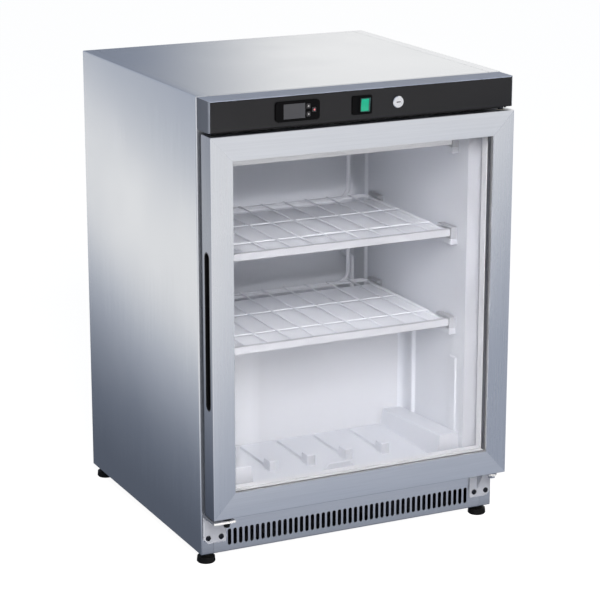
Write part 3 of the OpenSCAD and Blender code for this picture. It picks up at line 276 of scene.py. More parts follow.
@dataclass(frozen=True)
class Finish:
    """Base of all finishes: a name and a procedural material made once, on object coordinates."""

    name: str

    def material(self) -> bpy.types.Material:
        """Makes the material, or returns it if it exists.

        Returns:
            The finished material.
        """
        label = f"finish_{self.name}"
        made = bpy.data.materials.get(label)
        if not made:
            made = bpy.data.materials.new(label)
            bench = Bench.on(made)
            bench.place = bench.add("TexCoord").outputs["Object"]
            bench.add("OutputMaterial", Surface=self.shade(bench))
        return made

    def shade(self, bench: Bench) -> Socket:
        """Builds the shader; each finish has its own."""
        raise NotImplementedError


@dataclass(frozen=True)
class Metal(Finish):
    """Sheet or profile with a brushed grain along one axis."""

    tone: Colour
    grain: Grain
    roughness: float = 0.30
    streak: float = 0.10
    lines: float = 900.0
    line_gloss: Span = (-0.05, 0.05)
    line_bump: Span = (0.12, 0.2 * MM)
    clouds: float = 5.0
    cloud_gloss: Span = (-0.015, 0.02)

    def shade(self, bench: Bench) -> Socket:
        """Metal whose tone, roughness and normal follow the brush lines.

        Args:
            bench: Bench on its tree.

        Returns:
            The shader.
        """
        stretched = bench.add("Mapping", Vector=bench.place, Scale=self.grain.value).outputs["Vector"]
        tone, height = Bench(bench.tree, stretched).lay(brush_lines, self.lines)
        cloud = bench.lay(soft_cloud, self.clouds)["Mask"]
        base = bench.blend(tone, scaled(self.tone, 1 - self.streak), scaled(self.tone, 1 + self.streak))
        worn = bench.math("ADD", bench.span(tone, *self.line_gloss), bench.span(cloud, *self.cloud_gloss))
        return bench.surface(Base_Color=base, Metallic=1.0, Roughness=bench.math("ADD", worn, self.roughness),
                             Normal=bench.bump(height, *self.line_bump))


@dataclass(frozen=True)
class Plastic(Finish):
    """Moulded plastic, rubber or paint with a fine texture and a slight cloudiness."""

    tone: Colour
    roughness: float = 0.4
    pebble: float = 900.0
    depth: float = 0.08 * MM
    drift: float = 0.04
    coat: float = 0.0
    index: float = 1.5
    clouds: float = 9.0
    cloud_gloss: float = 0.04
    pebble_share: float = 0.3

    def shade(self, bench: Bench) -> Socket:
        """Plastic whose colour drifts slowly and whose normal carries the moulded texture.

        Args:
            bench: Bench on its tree.

        Returns:
            The shader.
        """
        mask = bench.lay(soft_cloud, self.clouds)["Mask"]
        grit = bench.lay(moulded_pebble, self.pebble)["Height"]
        base = bench.blend(mask, scaled(self.tone, 1 - self.drift), scaled(self.tone, 1 + self.drift))
        gloss = bench.span(mask, self.roughness - self.cloud_gloss, self.roughness + self.cloud_gloss)
        return bench.surface(Base_Color=base, Roughness=gloss, IOR=self.index, Coat_Weight=self.coat,
                             Normal=bench.bump(grit, self.pebble_share, self.depth))


@dataclass(frozen=True)
class BorderedPlastic(Finish):
    """Glossy button: a bright middle inside a dark translucent border."""

    tone: Colour
    border: Colour
    centre: Span
    half: Span
    rim: Span = (0.56, 0.74)
    gloss: Span = (0.16, 0.28)
    drift: float = 0.15
    clouds: float = 60.0
    coat: float = 0.15

    def shade(self, bench: Bench) -> Socket:
        """Plastic that darkens over the rim, a range in shares of the half width or half height.

        Args:
            bench: Bench on its tree.

        Returns:
            The shader.
        """
        x, _, z = bench.add("SeparateXYZ", Vector=bench.place).outputs
        away = [bench.math("ABSOLUTE", bench.math("SUBTRACT", at, middle))
                for at, middle in zip((x, z), self.centre)]
        shares = [bench.math("DIVIDE", distance, reach) for distance, reach in zip(away, self.half)]
        rim = bench.ease(bench.math("MAXIMUM", *shares), *self.rim)
        cloud = bench.lay(soft_cloud, self.clouds)["Mask"]
        middle = bench.blend(cloud, scaled(self.tone, 1 - self.drift), self.tone)
        return bench.surface(Base_Color=bench.blend(rim, middle, self.border), Coat_Weight=self.coat,
                             Roughness=bench.span(rim, *self.gloss))


@dataclass(frozen=True)
class ClearGlass(Finish):
    """Clear pane that lets the lamps through."""

    tint: Colour = (0.972, 0.977, 0.992)
    film: float = 0.985
    clouds: float = 4.0
    index: float = 1.42

    def shade(self, bench: Bench) -> Socket:
        """Smooth glass with a faint film; shadow rays pass it unbent.

        Args:
            bench: Bench on its tree.

        Returns:
            The shader.
        """
        cloud = bench.lay(soft_cloud, self.clouds)["Mask"]
        base = bench.blend(cloud, scaled(self.tint, self.film), self.tint)
        pane = bench.surface(Base_Color=base, Roughness=0.0, IOR=self.index, Transmission_Weight=1.0)
        shadow = bench.add("LightPath").outputs["Is Shadow Ray"]
        return bench.mix(shadow, pane, bench.join("BsdfTransparent", rgba(self.tint)))


@dataclass(frozen=True)
class PlatedSteel(Finish):
    """Zinc-coated steel with faint crystals."""

    tone: Colour = (0.56, 0.57, 0.59)
    roughness: float = 0.42
    crystals: float = 120.0
    dark_crystal: float = 0.88
    crystal_gloss: Span = (-0.06, 0.08)

    def shade(self, bench: Bench) -> Socket:
        """Metal whose tone and roughness change from crystal to crystal.

        Args:
            bench: Bench on its tree.

        Returns:
            The shader.
        """
        cells = bench.add("TexVoronoi", Vector=bench.place, Scale=self.crystals)
        red, green, _ = bench.add("SeparateColor", Color=cells.outputs["Color"]).outputs
        low, high = (self.roughness + change for change in self.crystal_gloss)
        base = bench.blend(red, scaled(self.tone, self.dark_crystal), self.tone)
        return bench.surface(Base_Color=base, Metallic=1.0, Roughness=bench.span(green, low, high))


@dataclass(frozen=True)
class Foam(Finish):
    """Rigid foam with small cells."""

    tone: Colour = (0.72, 0.62, 0.36)
    dark_cell: float = 0.8
    cells: float = 700.0
    cell_bump: Span = (0.5, 0.4 * MM)
    roughness: float = 0.9

    def shade(self, bench: Bench) -> Socket:
        """Matte foam, darker in its cells.

        Args:
            bench: Bench on its tree.

        Returns:
            The shader.
        """
        cells = bench.add("TexVoronoi", Vector=bench.place, Scale=self.cells).outputs["Distance"]
        base = bench.blend(cells, scaled(self.tone, self.dark_cell), self.tone)
        return bench.surface(Base_Color=base, Roughness=self.roughness,
                             Normal=bench.bump(cells, *self.cell_bump))


STEEL_UPRIGHT = Metal("steel_brushed_upright", (0.78, 0.79, 0.80), Grain.UPRIGHT, 0.22)
STEEL_SIDEWAYS = Metal("steel_brushed_sideways", (0.88, 0.885, 0.90), Grain.SIDEWAYS, 0.44)
STEEL_TOP = Metal("steel_brushed_top", (0.74, 0.75, 0.76), Grain.INWARDS, 0.2, 0.05)
PROFILE_UPRIGHT = Metal("profile_brushed_upright", (0.76, 0.77, 0.79), Grain.UPRIGHT, 0.27)
PROFILE_SIDEWAYS = Metal("profile_brushed_sideways", (0.88, 0.885, 0.90), Grain.SIDEWAYS, 0.42)
# Darker copy of the profile metal for the door's outer sides: painted shade of the gap beside the cabinet.
PROFILE_SIDE_SHADE = Metal("profile_edge", (0.38, 0.40, 0.44), Grain.UPRIGHT, 0.27)
CHROME = Metal("lock_chrome", (0.78, 0.78, 0.80), Grain.SIDEWAYS, 0.16, 0.04)
ZINC = PlatedSteel("zinc_plated", (0.62, 0.63, 0.65), 0.34, 300.0)
GALVANISED = PlatedSteel("galvanised_sheet")
SCREW_STEEL = Metal("screw_steel", (0.055, 0.057, 0.065), Grain.SIDEWAYS, 0.45, 0.08)
SPACER_METAL = Metal("spacer_metal", (0.11, 0.115, 0.13), Grain.UPRIGHT, 0.4, 0.06)
COIL = Metal("condenser_coil", (0.70, 0.70, 0.71), Grain.SIDEWAYS, 0.4, 0.06)
COPPER = Metal("copper_pipe", (0.72, 0.36, 0.20), Grain.UPRIGHT, 0.34, 0.12)
LINER_WHITE = Plastic("liner_white", (0.70, 0.72, 0.77), 0.34, 500, 0.05 * MM, 0.012)
# Darker copies of the liner white for its front-facing faces: painted shade.
LINER_FRONT_SHADE = Plastic("liner_front_painted_shade", (0.52, 0.532, 0.575), 0.36, 500, 0.05 * MM, 0.012)
LINER_STEP_SHADE = Plastic("liner_step_painted_shade", (0.60, 0.612, 0.645), 0.36, 500, 0.05 * MM, 0.012)
TRIM_WHITE = Plastic("trim_white", (0.55, 0.56, 0.595), 0.32, 700, 0.04 * MM, 0.012)
# Brighter copy of the trim white: painted light on the top trim, which the door's top rail shades.
TRIM_PAINTED_LIGHT = Plastic("trim_painted_light", (0.94, 0.945, 0.96), 0.30, 700, 0.04 * MM, 0.012)
CLIP_WHITE = Plastic("clip_white", (0.42, 0.43, 0.46), 0.34, 700, 0.04 * MM, 0.012)
WIRE_WHITE = Plastic("wire_coating_white", (0.90, 0.915, 0.96), 0.38, 600, 0.06 * MM, 0.02)
# Lighter copies of the black fascia plastic for its sides and top: painted sheen of grazing reflections.
FASCIA_SIDE_SHEEN = Plastic("fascia_side_painted_sheen", (0.235, 0.26, 0.32), 0.45, 1200, 0.02 * MM, 0.06, index=1.34)
FASCIA_TOP_SHEEN = Plastic("fascia_top_painted_sheen", (0.46, 0.515, 0.66), 0.45, 1200, 0.02 * MM, 0.10, index=1.34)
FASCIA_BLACK = Plastic("fascia_black", (0.013, 0.013, 0.015), 0.20, 1200, 0.02 * MM, 0.08, index=1.34)
BEZEL_BLACK = Plastic("bezel_black", (0.003, 0.003, 0.0035), 0.16, 1500, 0.01 * MM, 0.05, index=1.14)
WINDOW_SMOKE = Plastic("window_smoke", (0.034, 0.035, 0.043), 0.12, 400, 0.01 * MM, 0.06, 0.3)
KEY_GREY = Plastic("key_grey", (0.028, 0.028, 0.031), 0.4, 1400, 0.03 * MM, 0.05)
ROCKER_GREEN = BorderedPlastic("rocker_green", (0.002, 0.44, 0.26), (0.016, 0.055, 0.055),
                               centre=(-3.0 * MM, 825.5 * MM), half=(11.2 * MM, 16.5 * MM))
MARK_WHITE = Plastic("mark_white", (0.55, 0.56, 0.58), 0.4, 900, 0.01 * MM, 0.02)
MARK_RED = Plastic("mark_red", (0.62, 0.16, 0.18), 0.3, 900, 0.01 * MM, 0.04)
CUP_BLACK = Plastic("cup_black", (0.008, 0.008, 0.009), 0.30, 1100, 0.04 * MM, 0.06)
RUBBER_BLACK = Plastic("rubber_black", (0.005, 0.005, 0.005), 0.5, 800, 0.06 * MM, 0.08, index=1.3)
# Grey of the door seal, also put on the spacer's upward faces as painted light.
SEAL_GREY_AND_SPACER_LIGHT = Plastic("seal_grey_and_painted_spacer_light", (0.62, 0.64, 0.68), 0.5, 700, 0.06 * MM, 0.04)
BEAD_GREY = Plastic("glazing_bead_grey", (0.17, 0.175, 0.19), 0.42, 900, 0.05 * MM, 0.05)
FRAME_GREY = Plastic("inner_frame_white", (0.72, 0.73, 0.755), 0.36, 800, 0.04 * MM, 0.015)
BRACKET_SATIN = Plastic("bracket_satin", (0.43, 0.455, 0.53), 0.42, 900, 0.02 * MM, 0.05)
# Bright white for the forward faces at a bracket's nose: a painted highlight of the lit front edge.
NOSE_HIGHLIGHT = Plastic("bracket_nose_painted_highlight", (0.78, 0.79, 0.82), 0.45, 900, 0.02 * MM, 0.03)
BUSH_IVORY = Plastic("bush_ivory", (0.70, 0.68, 0.60), 0.4, 900, 0.03 * MM, 0.03)
SHELL_BLACK = Plastic("compressor_black", (0.014, 0.014, 0.016), 0.3, 300, 0.08 * MM, 0.10)
GLASS = ClearGlass("door_glass")
FOAM = Foam("wall_foam")


# Surfaces


def quads(rows: int, columns: int, wrap_rows: bool = True) -> Array:
    """Faces of a grid whose last column joins its first: each joins four neighbouring points.

    Args:
        rows: Points along the first parameter.
        columns: Points along the second parameter.
        wrap_rows: Whether the last row joins the first.

    Returns:
        Index array of shape (faces, 4).
    """
    i = np.arange(rows if wrap_rows else rows - 1)[:, None]
    j = np.arange(columns)
    down, right = (i + 1) % rows, (j + 1) % columns
    return np.stack([i * columns + j, i * columns + right, down * columns + right, down * columns + j],
                    axis=-1).reshape(-1, 4)


def placed(name: str, data: bpy.types.ID) -> Piece:
    """Puts a new object into the scene.

    Args:
        name: Name of the object.
        data: Its mesh, camera or light.

    Returns:
        The object.
    """
    made = bpy.data.objects.new(name, data)
    bpy.context.scene.collection.objects.link(made)
    return made


def mesh_object(name: str, points: Array, faces: Sequence[Any], smooth: float = 35.0) -> Piece:
    """Makes an object from arrays, with its place in the mesh and its faces outwards.

    Args:
        name: Name of the piece.
        points: Points, with x, y and z on the last axis.
        faces: Faces as index lists.
        smooth: Largest angle shaded smooth, in degrees.

    Returns:
        The new object, in the scene.
    """
    mesh = bpy.data.meshes.new(name)
    mesh.from_pydata(points.reshape(-1, 3).tolist(), [], [list(map(int, face)) for face in faces])
    mesh.validate()
    mesh.shade_smooth()
    mesh.set_sharp_from_angle(angle=math.radians(smooth))
    return placed(name, mesh)


def lofted(name: str, flat: Array, depth: Array, smooth: float) -> Piece:
    """Closed surface over a grid that wraps both ways.

    Args:
        name: Name of the piece.
        flat: Places in x and z, of shape (rows, columns, 2).
        depth: y of each column.
        smooth: Largest angle shaded smooth, in degrees.

    Returns:
        The new object.
    """
    rows, columns, _ = flat.shape
    points = np.stack([flat[..., 0], np.broadcast_to(depth, (rows, columns)), flat[..., 1]], axis=-1)
    return mesh_object(name, points, quads(rows, columns), smooth)


@dataclass(frozen=True)
class Loop:
    """Closed loop round an upright rectangle: straight sides joined by quarter circles."""

    half: float
    low: float
    high: float
    radius: float
    steps: int = 8

    def points(self) -> tuple[Array, Array]:
        """Works out the loop, corner by corner.

        Returns:
            Points and outward directions, both of shape (n, 2) in x and z.
        """
        turn = np.linspace(0, math.pi / 2, self.steps)
        angles = (np.arange(4)[:, None] * math.pi / 2 + turn).reshape(-1)
        out = np.stack([np.cos(angles), np.sin(angles)], axis=-1)
        side, bottom, top = self.half - self.radius, self.low + self.radius, self.high - self.radius
        middles = np.array([[side, top], [-side, top], [-side, bottom], [side, bottom]])
        return np.repeat(middles, self.steps, axis=0) + self.radius * out, out

    def sweep(self, name: str, profile: Array, smooth: float) -> Piece:
        """Carries a closed profile round the loop.

        A profile point (a, y) lies a inside the loop, at depth y: loop point minus a times the outward
        direction.

        Args:
            name: Name of the piece.
            profile: Profile of shape (m, 2), counter-clockwise seen along the loop.
            smooth: Largest angle shaded smooth, in degrees.

        Returns:
            The new object.
        """
        loop, out = self.points()
        flat = loop[:, None] - profile[:, :1] * out[:, None]
        return lofted(name, flat, profile[:, 1], smooth)


def plaque(name: str, outline: Array, front: float, thickness: float) -> Piece:
    """Flat shape behind a front plane: an outline carried back to a closed prism.

    Args:
        name: Name of the piece.
        outline: Outline of shape (m, 2) in x and z, counter-clockwise seen from the front.
        front: y of the front face.
        thickness: Depth behind the front face.

    Returns:
        The new object.
    """
    count = len(outline)
    ring = np.arange(count)
    after = (ring + 1) % count
    points = [np.insert(outline, 1, y, axis=1) for y in (front, front + thickness)]
    sides = np.stack([ring, count + ring, count + after, after], axis=-1)
    return mesh_object(name, np.stack(points), [ring, count + ring[::-1], *sides], smooth=20.0)


def slot_outline(x: float, z: float, width: float, height: float) -> Array:
    """Outline of a slot: two half circles as high as the slot, apart by the rest of its width.

    Args:
        x: Middle in x.
        z: Middle in z.
        width: Whole width.
        height: Whole height.

    Returns:
        Points in x and z.
    """
    count = 20
    angle = np.linspace(-math.pi / 2, 1.5 * math.pi, count)
    shift = np.where(np.arange(count) < count // 2, 0.5, -0.5) * (width - height)
    return np.stack([x + shift + height / 2 * np.cos(angle), z + height / 2 * np.sin(angle)], axis=-1)


def front_of(limit: float = math.inf) -> Chooser:
    """Chooses the faces that look to the front and lie before a depth."""
    return lambda facing, middle: (facing[:, 1] < -FACING) & (middle[:, 1] < limit)


# The part


@dataclass
class Assembly:
    """A sub-assembly: CAD nodes with their finishes, and pieces made here."""

    nodes: dict[str, Piece]
    pieces: list[Piece] = field(default_factory=list, init=False)
    weld: float = 0.01 * MM
    flat_angle: float = 1.0
    edge_angle: float = 30.0
    edge_steps: int = 3

    def build(self) -> None:
        """Dresses the sub-assembly."""
        raise NotImplementedError

    def coat(self, finish: Finish, *names: str) -> None:
        """Gives CAD nodes a finish.

        Args:
            finish: The finish.
            names: Names of the nodes.
        """
        for name in names:
            for slot in self.nodes[name].material_slots:
                slot.material = finish.material()

    def keep(self, piece: Piece, finish: Finish, body: Body, slot: str, *stands_for: str) -> None:
        """Finishes a new piece and hands it to its body.

        Args:
            piece: The new object.
            finish: Its finish.
            body: The body that carries it.
            slot: Material slot of the record; not used.
            stands_for: CAD nodes that it replaces.
        """
        piece.data.materials.clear()
        piece.data.materials.append(finish.material())
        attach(piece, body.value)
        if stands_for:
            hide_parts(*stands_for)
        self.pieces.append(piece)

    def copied(self, node: str) -> Piece:
        """Copy of a CAD node with its doubles merged and its flat faces joined.

        Args:
            node: The CAD node.

        Returns:
            The new object.
        """
        name = f"{node}_rounded"
        mesh = self.nodes[node].data.copy()
        mesh.name = name
        if "custom_normal" in mesh.attributes:
            mesh.attributes.remove(mesh.attributes["custom_normal"])
        mesh.shade_smooth()
        made = placed(name, mesh)
        made.modifiers.new("weld", "WELD").merge_threshold = self.weld
        flat = made.modifiers.new("flat", "DECIMATE")
        flat.decimate_type = "DISSOLVE"
        flat.angle_limit = math.radians(self.flat_angle)
        flat.delimit = {"MATERIAL"}
        return made

    def soften(self, piece: Piece, width: float, free: bool = False) -> None:
        """Rounds the sharp edges of a piece.

        Args:
            piece: The piece.
            width: Width of the rounding in metres.
            free: Whether the rounding keeps its width on short edges too.
        """
        edge = piece.modifiers.new("edge", "BEVEL")
        edge.width = width
        edge.segments = self.edge_steps
        edge.limit_method = "ANGLE"
        edge.angle_limit = math.radians(self.edge_angle)
        edge.use_clamp_overlap = not free
        edge.harden_normals = True

    def rounded(self, finish: Finish, body: Body, slot: str, width: float, *names: str) -> None:
        """Replaces CAD nodes by copies with rounded edges.

        Args:
            finish: Their finish.
            body: The body that carries them.
            slot: Material slot of the record.
            width: Width of the rounding in metres.
            names: Names of the nodes.
        """
        for name in names:
            piece = self.copied(name)
            self.soften(piece, width)
            self.keep(piece, finish, body, slot, name)

    def repaint(self, piece: Piece, finish: Finish, chosen: Chooser) -> None:
        """Gives some faces of a piece another finish.

        Args:
            piece: The piece.
            finish: Finish of the chosen faces.
            chosen: Turns the normals and middles of all faces into a mask.
        """
        piece.data.materials.append(finish.material())
        faces = piece.data.polygons
        facing, middle = (np.empty(len(faces) * 3, np.float32) for _ in range(2))
        faces.foreach_get("normal", facing)
        faces.foreach_get("center", middle)
        index = np.empty(len(faces), np.int32)
        faces.foreach_get("material_index", index)
        index[chosen(facing.reshape(-1, 3), middle.reshape(-1, 3))] = len(piece.data.materials) - 1
        faces.foreach_set("material_index", index)

    def report(self) -> None:
        """Logs the pieces made here."""
        for piece in self.pieces:
            LOG.info("%s: piece %s, %d faces", type(self).__name__, piece.name, len(piece.data.polygons))


@dataclass
class Cabinet(Assembly):
    """Outer sheet and feet."""

    fold_edge: float = 0.3 * MM
    top_edge: float = 1.0 * MM

    def build(self) -> None:
        """Coats the sheet nodes and the feet, with the front folds of the side panels brushed sideways."""
        self.rounded(STEEL_UPRIGHT, Body.CABINET, "stainless", self.fold_edge, "left_side_panel",
                     "right_side_panel")
        for piece in self.pieces:
            self.repaint(piece, STEEL_SIDEWAYS, front_of())
        self.rounded(STEEL_TOP, Body.CABINET, "stainless", self.top_edge, "top_panel")
        self.coat(STEEL_SIDEWAYS, "top_front_rail", "bottom_front_rail", "grille_panel")
        self.coat(GALVANISED, "back_panel", "rear_cover", "bay_lining", "base_pan")
        self.coat(RUBBER_BLACK, "front_left_foot", "front_right_foot", "rear_left_foot", "rear_right_foot")


@dataclass
class InsulatedBox(Assembly):
    """White liner and the foam behind it."""

    edge: float = 1.6 * MM
    ledge_half: Span = (188.0 * MM, 234.6 * MM)
    ledge_ends: Span = (-231.0 * MM, -1.0 * MM)
    ledge_tops: Span = (171.0 * MM, 155.6 * MM)
    ledge_lean: float = 6.0 * MM
    ledge_foot: float = 124.0 * MM
    ledge_rows: int = 9
    step_end: float = 20.0 * MM
    fronts_end: float = -60.0 * MM

    def build(self) -> None:
        """Rounds the liner's moulded edges, paints shade on its flange and front faces, coats the foam, caps
        the ledges.
        """
        self.coat(FOAM, "insulation")
        liner = self.copied("inner_liner")
        self.soften(liner, self.edge, free=True)
        self.keep(liner, LINER_WHITE, Body.CABINET, "liner_white", "inner_liner")
        # Front faces of the step, the pads and the flange take darker copies of the liner white: painted
        # shade.
        self.repaint(liner, LINER_STEP_SHADE, front_of(self.step_end))
        self.repaint(liner, LINER_FRONT_SHADE, front_of(self.fronts_end))
        self.make_ledge_caps()

    def make_ledge_caps(self) -> None:
        """Lays a wedge on each ledge: a leaning profile carried back, its top falling evenly to the rear."""
        inner, outer = self.ledge_half
        across = np.array([outer, inner, inner + self.ledge_lean, outer])
        depth = np.linspace(*self.ledge_ends, self.ledge_rows)
        top = np.linspace(*self.ledge_tops, self.ledge_rows)
        foot = np.full_like(top, self.ledge_foot)
        height = np.stack([foot, foot, top, top], axis=-1)
        index = np.arange(height.size).reshape(height.shape)
        for name, side in (("left_ledge_cap", -1), ("right_ledge_cap", 1)):
            grid = np.stack(np.broadcast_arrays(side * across, depth[:, None], height), axis=-1)
            sides = quads(*height.shape, wrap_rows=False)[:, ::side]
            cap = mesh_object(name, grid, [*sides, index[0, ::-side], index[-1, ::side]])
            self.soften(cap, self.edge)
            self.keep(cap, LINER_WHITE, Body.CABINET, "liner_white")
            # Front faces of the cap take the darker liner white: painted shade.
            self.repaint(cap, LINER_FRONT_SHADE, front_of())


@dataclass
class ColdShelves(Assembly):
    """Evaporator shelves with their trims, clips and risers."""

    trim_edge: float = 2.0 * MM
    clip_edge: float = 1.2 * MM

    def build(self) -> None:
        """Coats tubes and wires, and rounds the trims and clips."""
        self.coat(WIRE_WHITE, "lower_evaporator_shelf", "middle_evaporator_shelf", "top_evaporator_shelf",
                  "evaporator_risers")
        self.rounded(TRIM_WHITE, Body.CABINET, "white_plastic", self.trim_edge, "lower_shelf_trim",
                     "middle_shelf_trim")
        # The top trim takes the brighter copy of the trim white: painted light.
        self.rounded(TRIM_PAINTED_LIGHT, Body.CABINET, "white_plastic", self.trim_edge, "top_shelf_trim")
        self.rounded(CLIP_WHITE, Body.CABINET, "white_plastic", self.clip_edge, "shelf_end_clips")


@dataclass
class GlassDoor(Assembly):
    """Door of mitred profiles with two panes, its seal, its glazing bead and its grip."""

    profile_edge: float = 0.9 * MM
    rail_edge: float = 1.8 * MM
    spacer_edge: float = 0.2 * MM
    outer_band: float = 1.0 * MM
    bead_width: float = 1.4 * MM
    bead_depth: float = 2.0 * MM
    bead_corner: float = 0.5 * MM
    bead_steps: int = 7
    seal_width: float = 17.0 * MM
    seal_corner: float = 6.0 * MM
    seal_side: Levels = ((1.0, 0.0), (1.0, 0.16), (0.86, 0.26), (0.72, 0.40), (0.88, 0.54), (0.98, 0.66),
                         (1.0, 0.88), (0.94, 1.0))

    def build(self) -> None:
        """Rounds the profiles, coats the panes, and makes the soft seal and the glazing bead."""
        self.rounded(PROFILE_UPRIGHT, Body.DOOR, "door_profile", self.profile_edge, "door_left_stile",
                     "door_right_stile")
        self.rounded(PROFILE_SIDEWAYS, Body.DOOR, "door_profile", self.rail_edge, "door_top_rail",
                     "door_bottom_rail")
        # Outer sides of the door profiles take the darker copy of the profile metal: painted shade.
        for piece in self.pieces:
            self.repaint(piece, PROFILE_SIDE_SHADE, self.outermost)
        self.coat(GLASS, "outer_glass", "inner_glass")
        self.rounded(SPACER_METAL, Body.DOOR, "spacer", self.spacer_edge, "glass_spacer")
        # Upward faces of the dark spacer take the pale seal grey: painted light on the lit spacer below the
        # glass.
        self.repaint(self.pieces[-1], SEAL_GREY_AND_SPACER_LIGHT, lambda facing, middle: facing[:, 2] > FACING)
        self.coat(FRAME_GREY, "door_inner_frame")
        self.coat(CUP_BLACK, "grip_cup")
        self.coat(BUSH_IVORY, "door_bushes")
        self.make_seal()
        self.make_bead()

    def outermost(self, facing: Array, middle: Array) -> Array:
        """Chooses the sideways faces in a band furthest from the middle of the door."""
        away = np.abs(middle[:, 0])
        return (np.abs(facing[:, 0]) > FACING) & (away > away.max() - self.outer_band)

    def make_seal(self) -> None:
        """Sweeps the bellows of the seal: a foot, two folds and a rounded magnet pocket.

        The profile is one side, in shares of the width and the thickness, and its mirror image.
        """
        low, high = np.array(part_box("door_gasket"))
        side = np.array(self.seal_side)
        mirrored = side[::-1] * (-1.0, 1.0) + (1.0, 0.0)
        profile = np.concatenate([side, mirrored]) * (self.seal_width, high[1] - low[1]) + (0.0, low[1])
        seal = Loop(high[0], low[2], high[2], self.seal_corner).sweep("door_seal", profile, smooth=60.0)
        self.keep(seal, SEAL_GREY_AND_SPACER_LIGHT, Body.DOOR, "gasket", "door_gasket")

    def make_bead(self) -> None:
        """Sweeps the glazing bead: a quarter-round strip in the corner between lip and outer pane."""
        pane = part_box("outer_glass")[0][1]
        half = -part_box("door_left_stile")[1][0]
        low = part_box("door_bottom_rail")[1][2]
        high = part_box("door_top_rail")[0][2]
        turn = np.linspace(0, math.pi / 2, self.bead_steps)
        arc = np.stack([self.bead_width * np.cos(turn), pane - self.bead_depth * np.sin(turn)], axis=-1)
        profile = np.concatenate([[[0.0, pane]], arc])
        bead = Loop(half, low, high, self.bead_corner).sweep("glazing_bead", profile, smooth=50.0)
        self.keep(bead, BEAD_GREY, Body.DOOR, "gasket")


@dataclass(frozen=True)
class KeyMark:
    """Star printed on a controller key; three corners and a waist of one half make a triangle."""

    node: str
    body: Body
    finish: Finish
    corners: int
    turn: float
    radius: float
    waist: float = 0.5

    def outline(self, x: float, z: float) -> Array:
        """Points on a circle, and between them points drawn in to the waist, a share of its radius.

        Args:
            x: Middle in x.
            z: Middle in z.

        Returns:
            Points in x and z.
        """
        count = 2 * self.corners
        angle = math.radians(self.turn) + np.linspace(0, 2 * math.pi, count, endpoint=False)
        reach = self.radius * np.where(np.arange(count) % 2 == 0, 1.0, self.waist)
        return np.stack([x + reach * np.cos(angle), z + reach * np.sin(angle)], axis=-1)


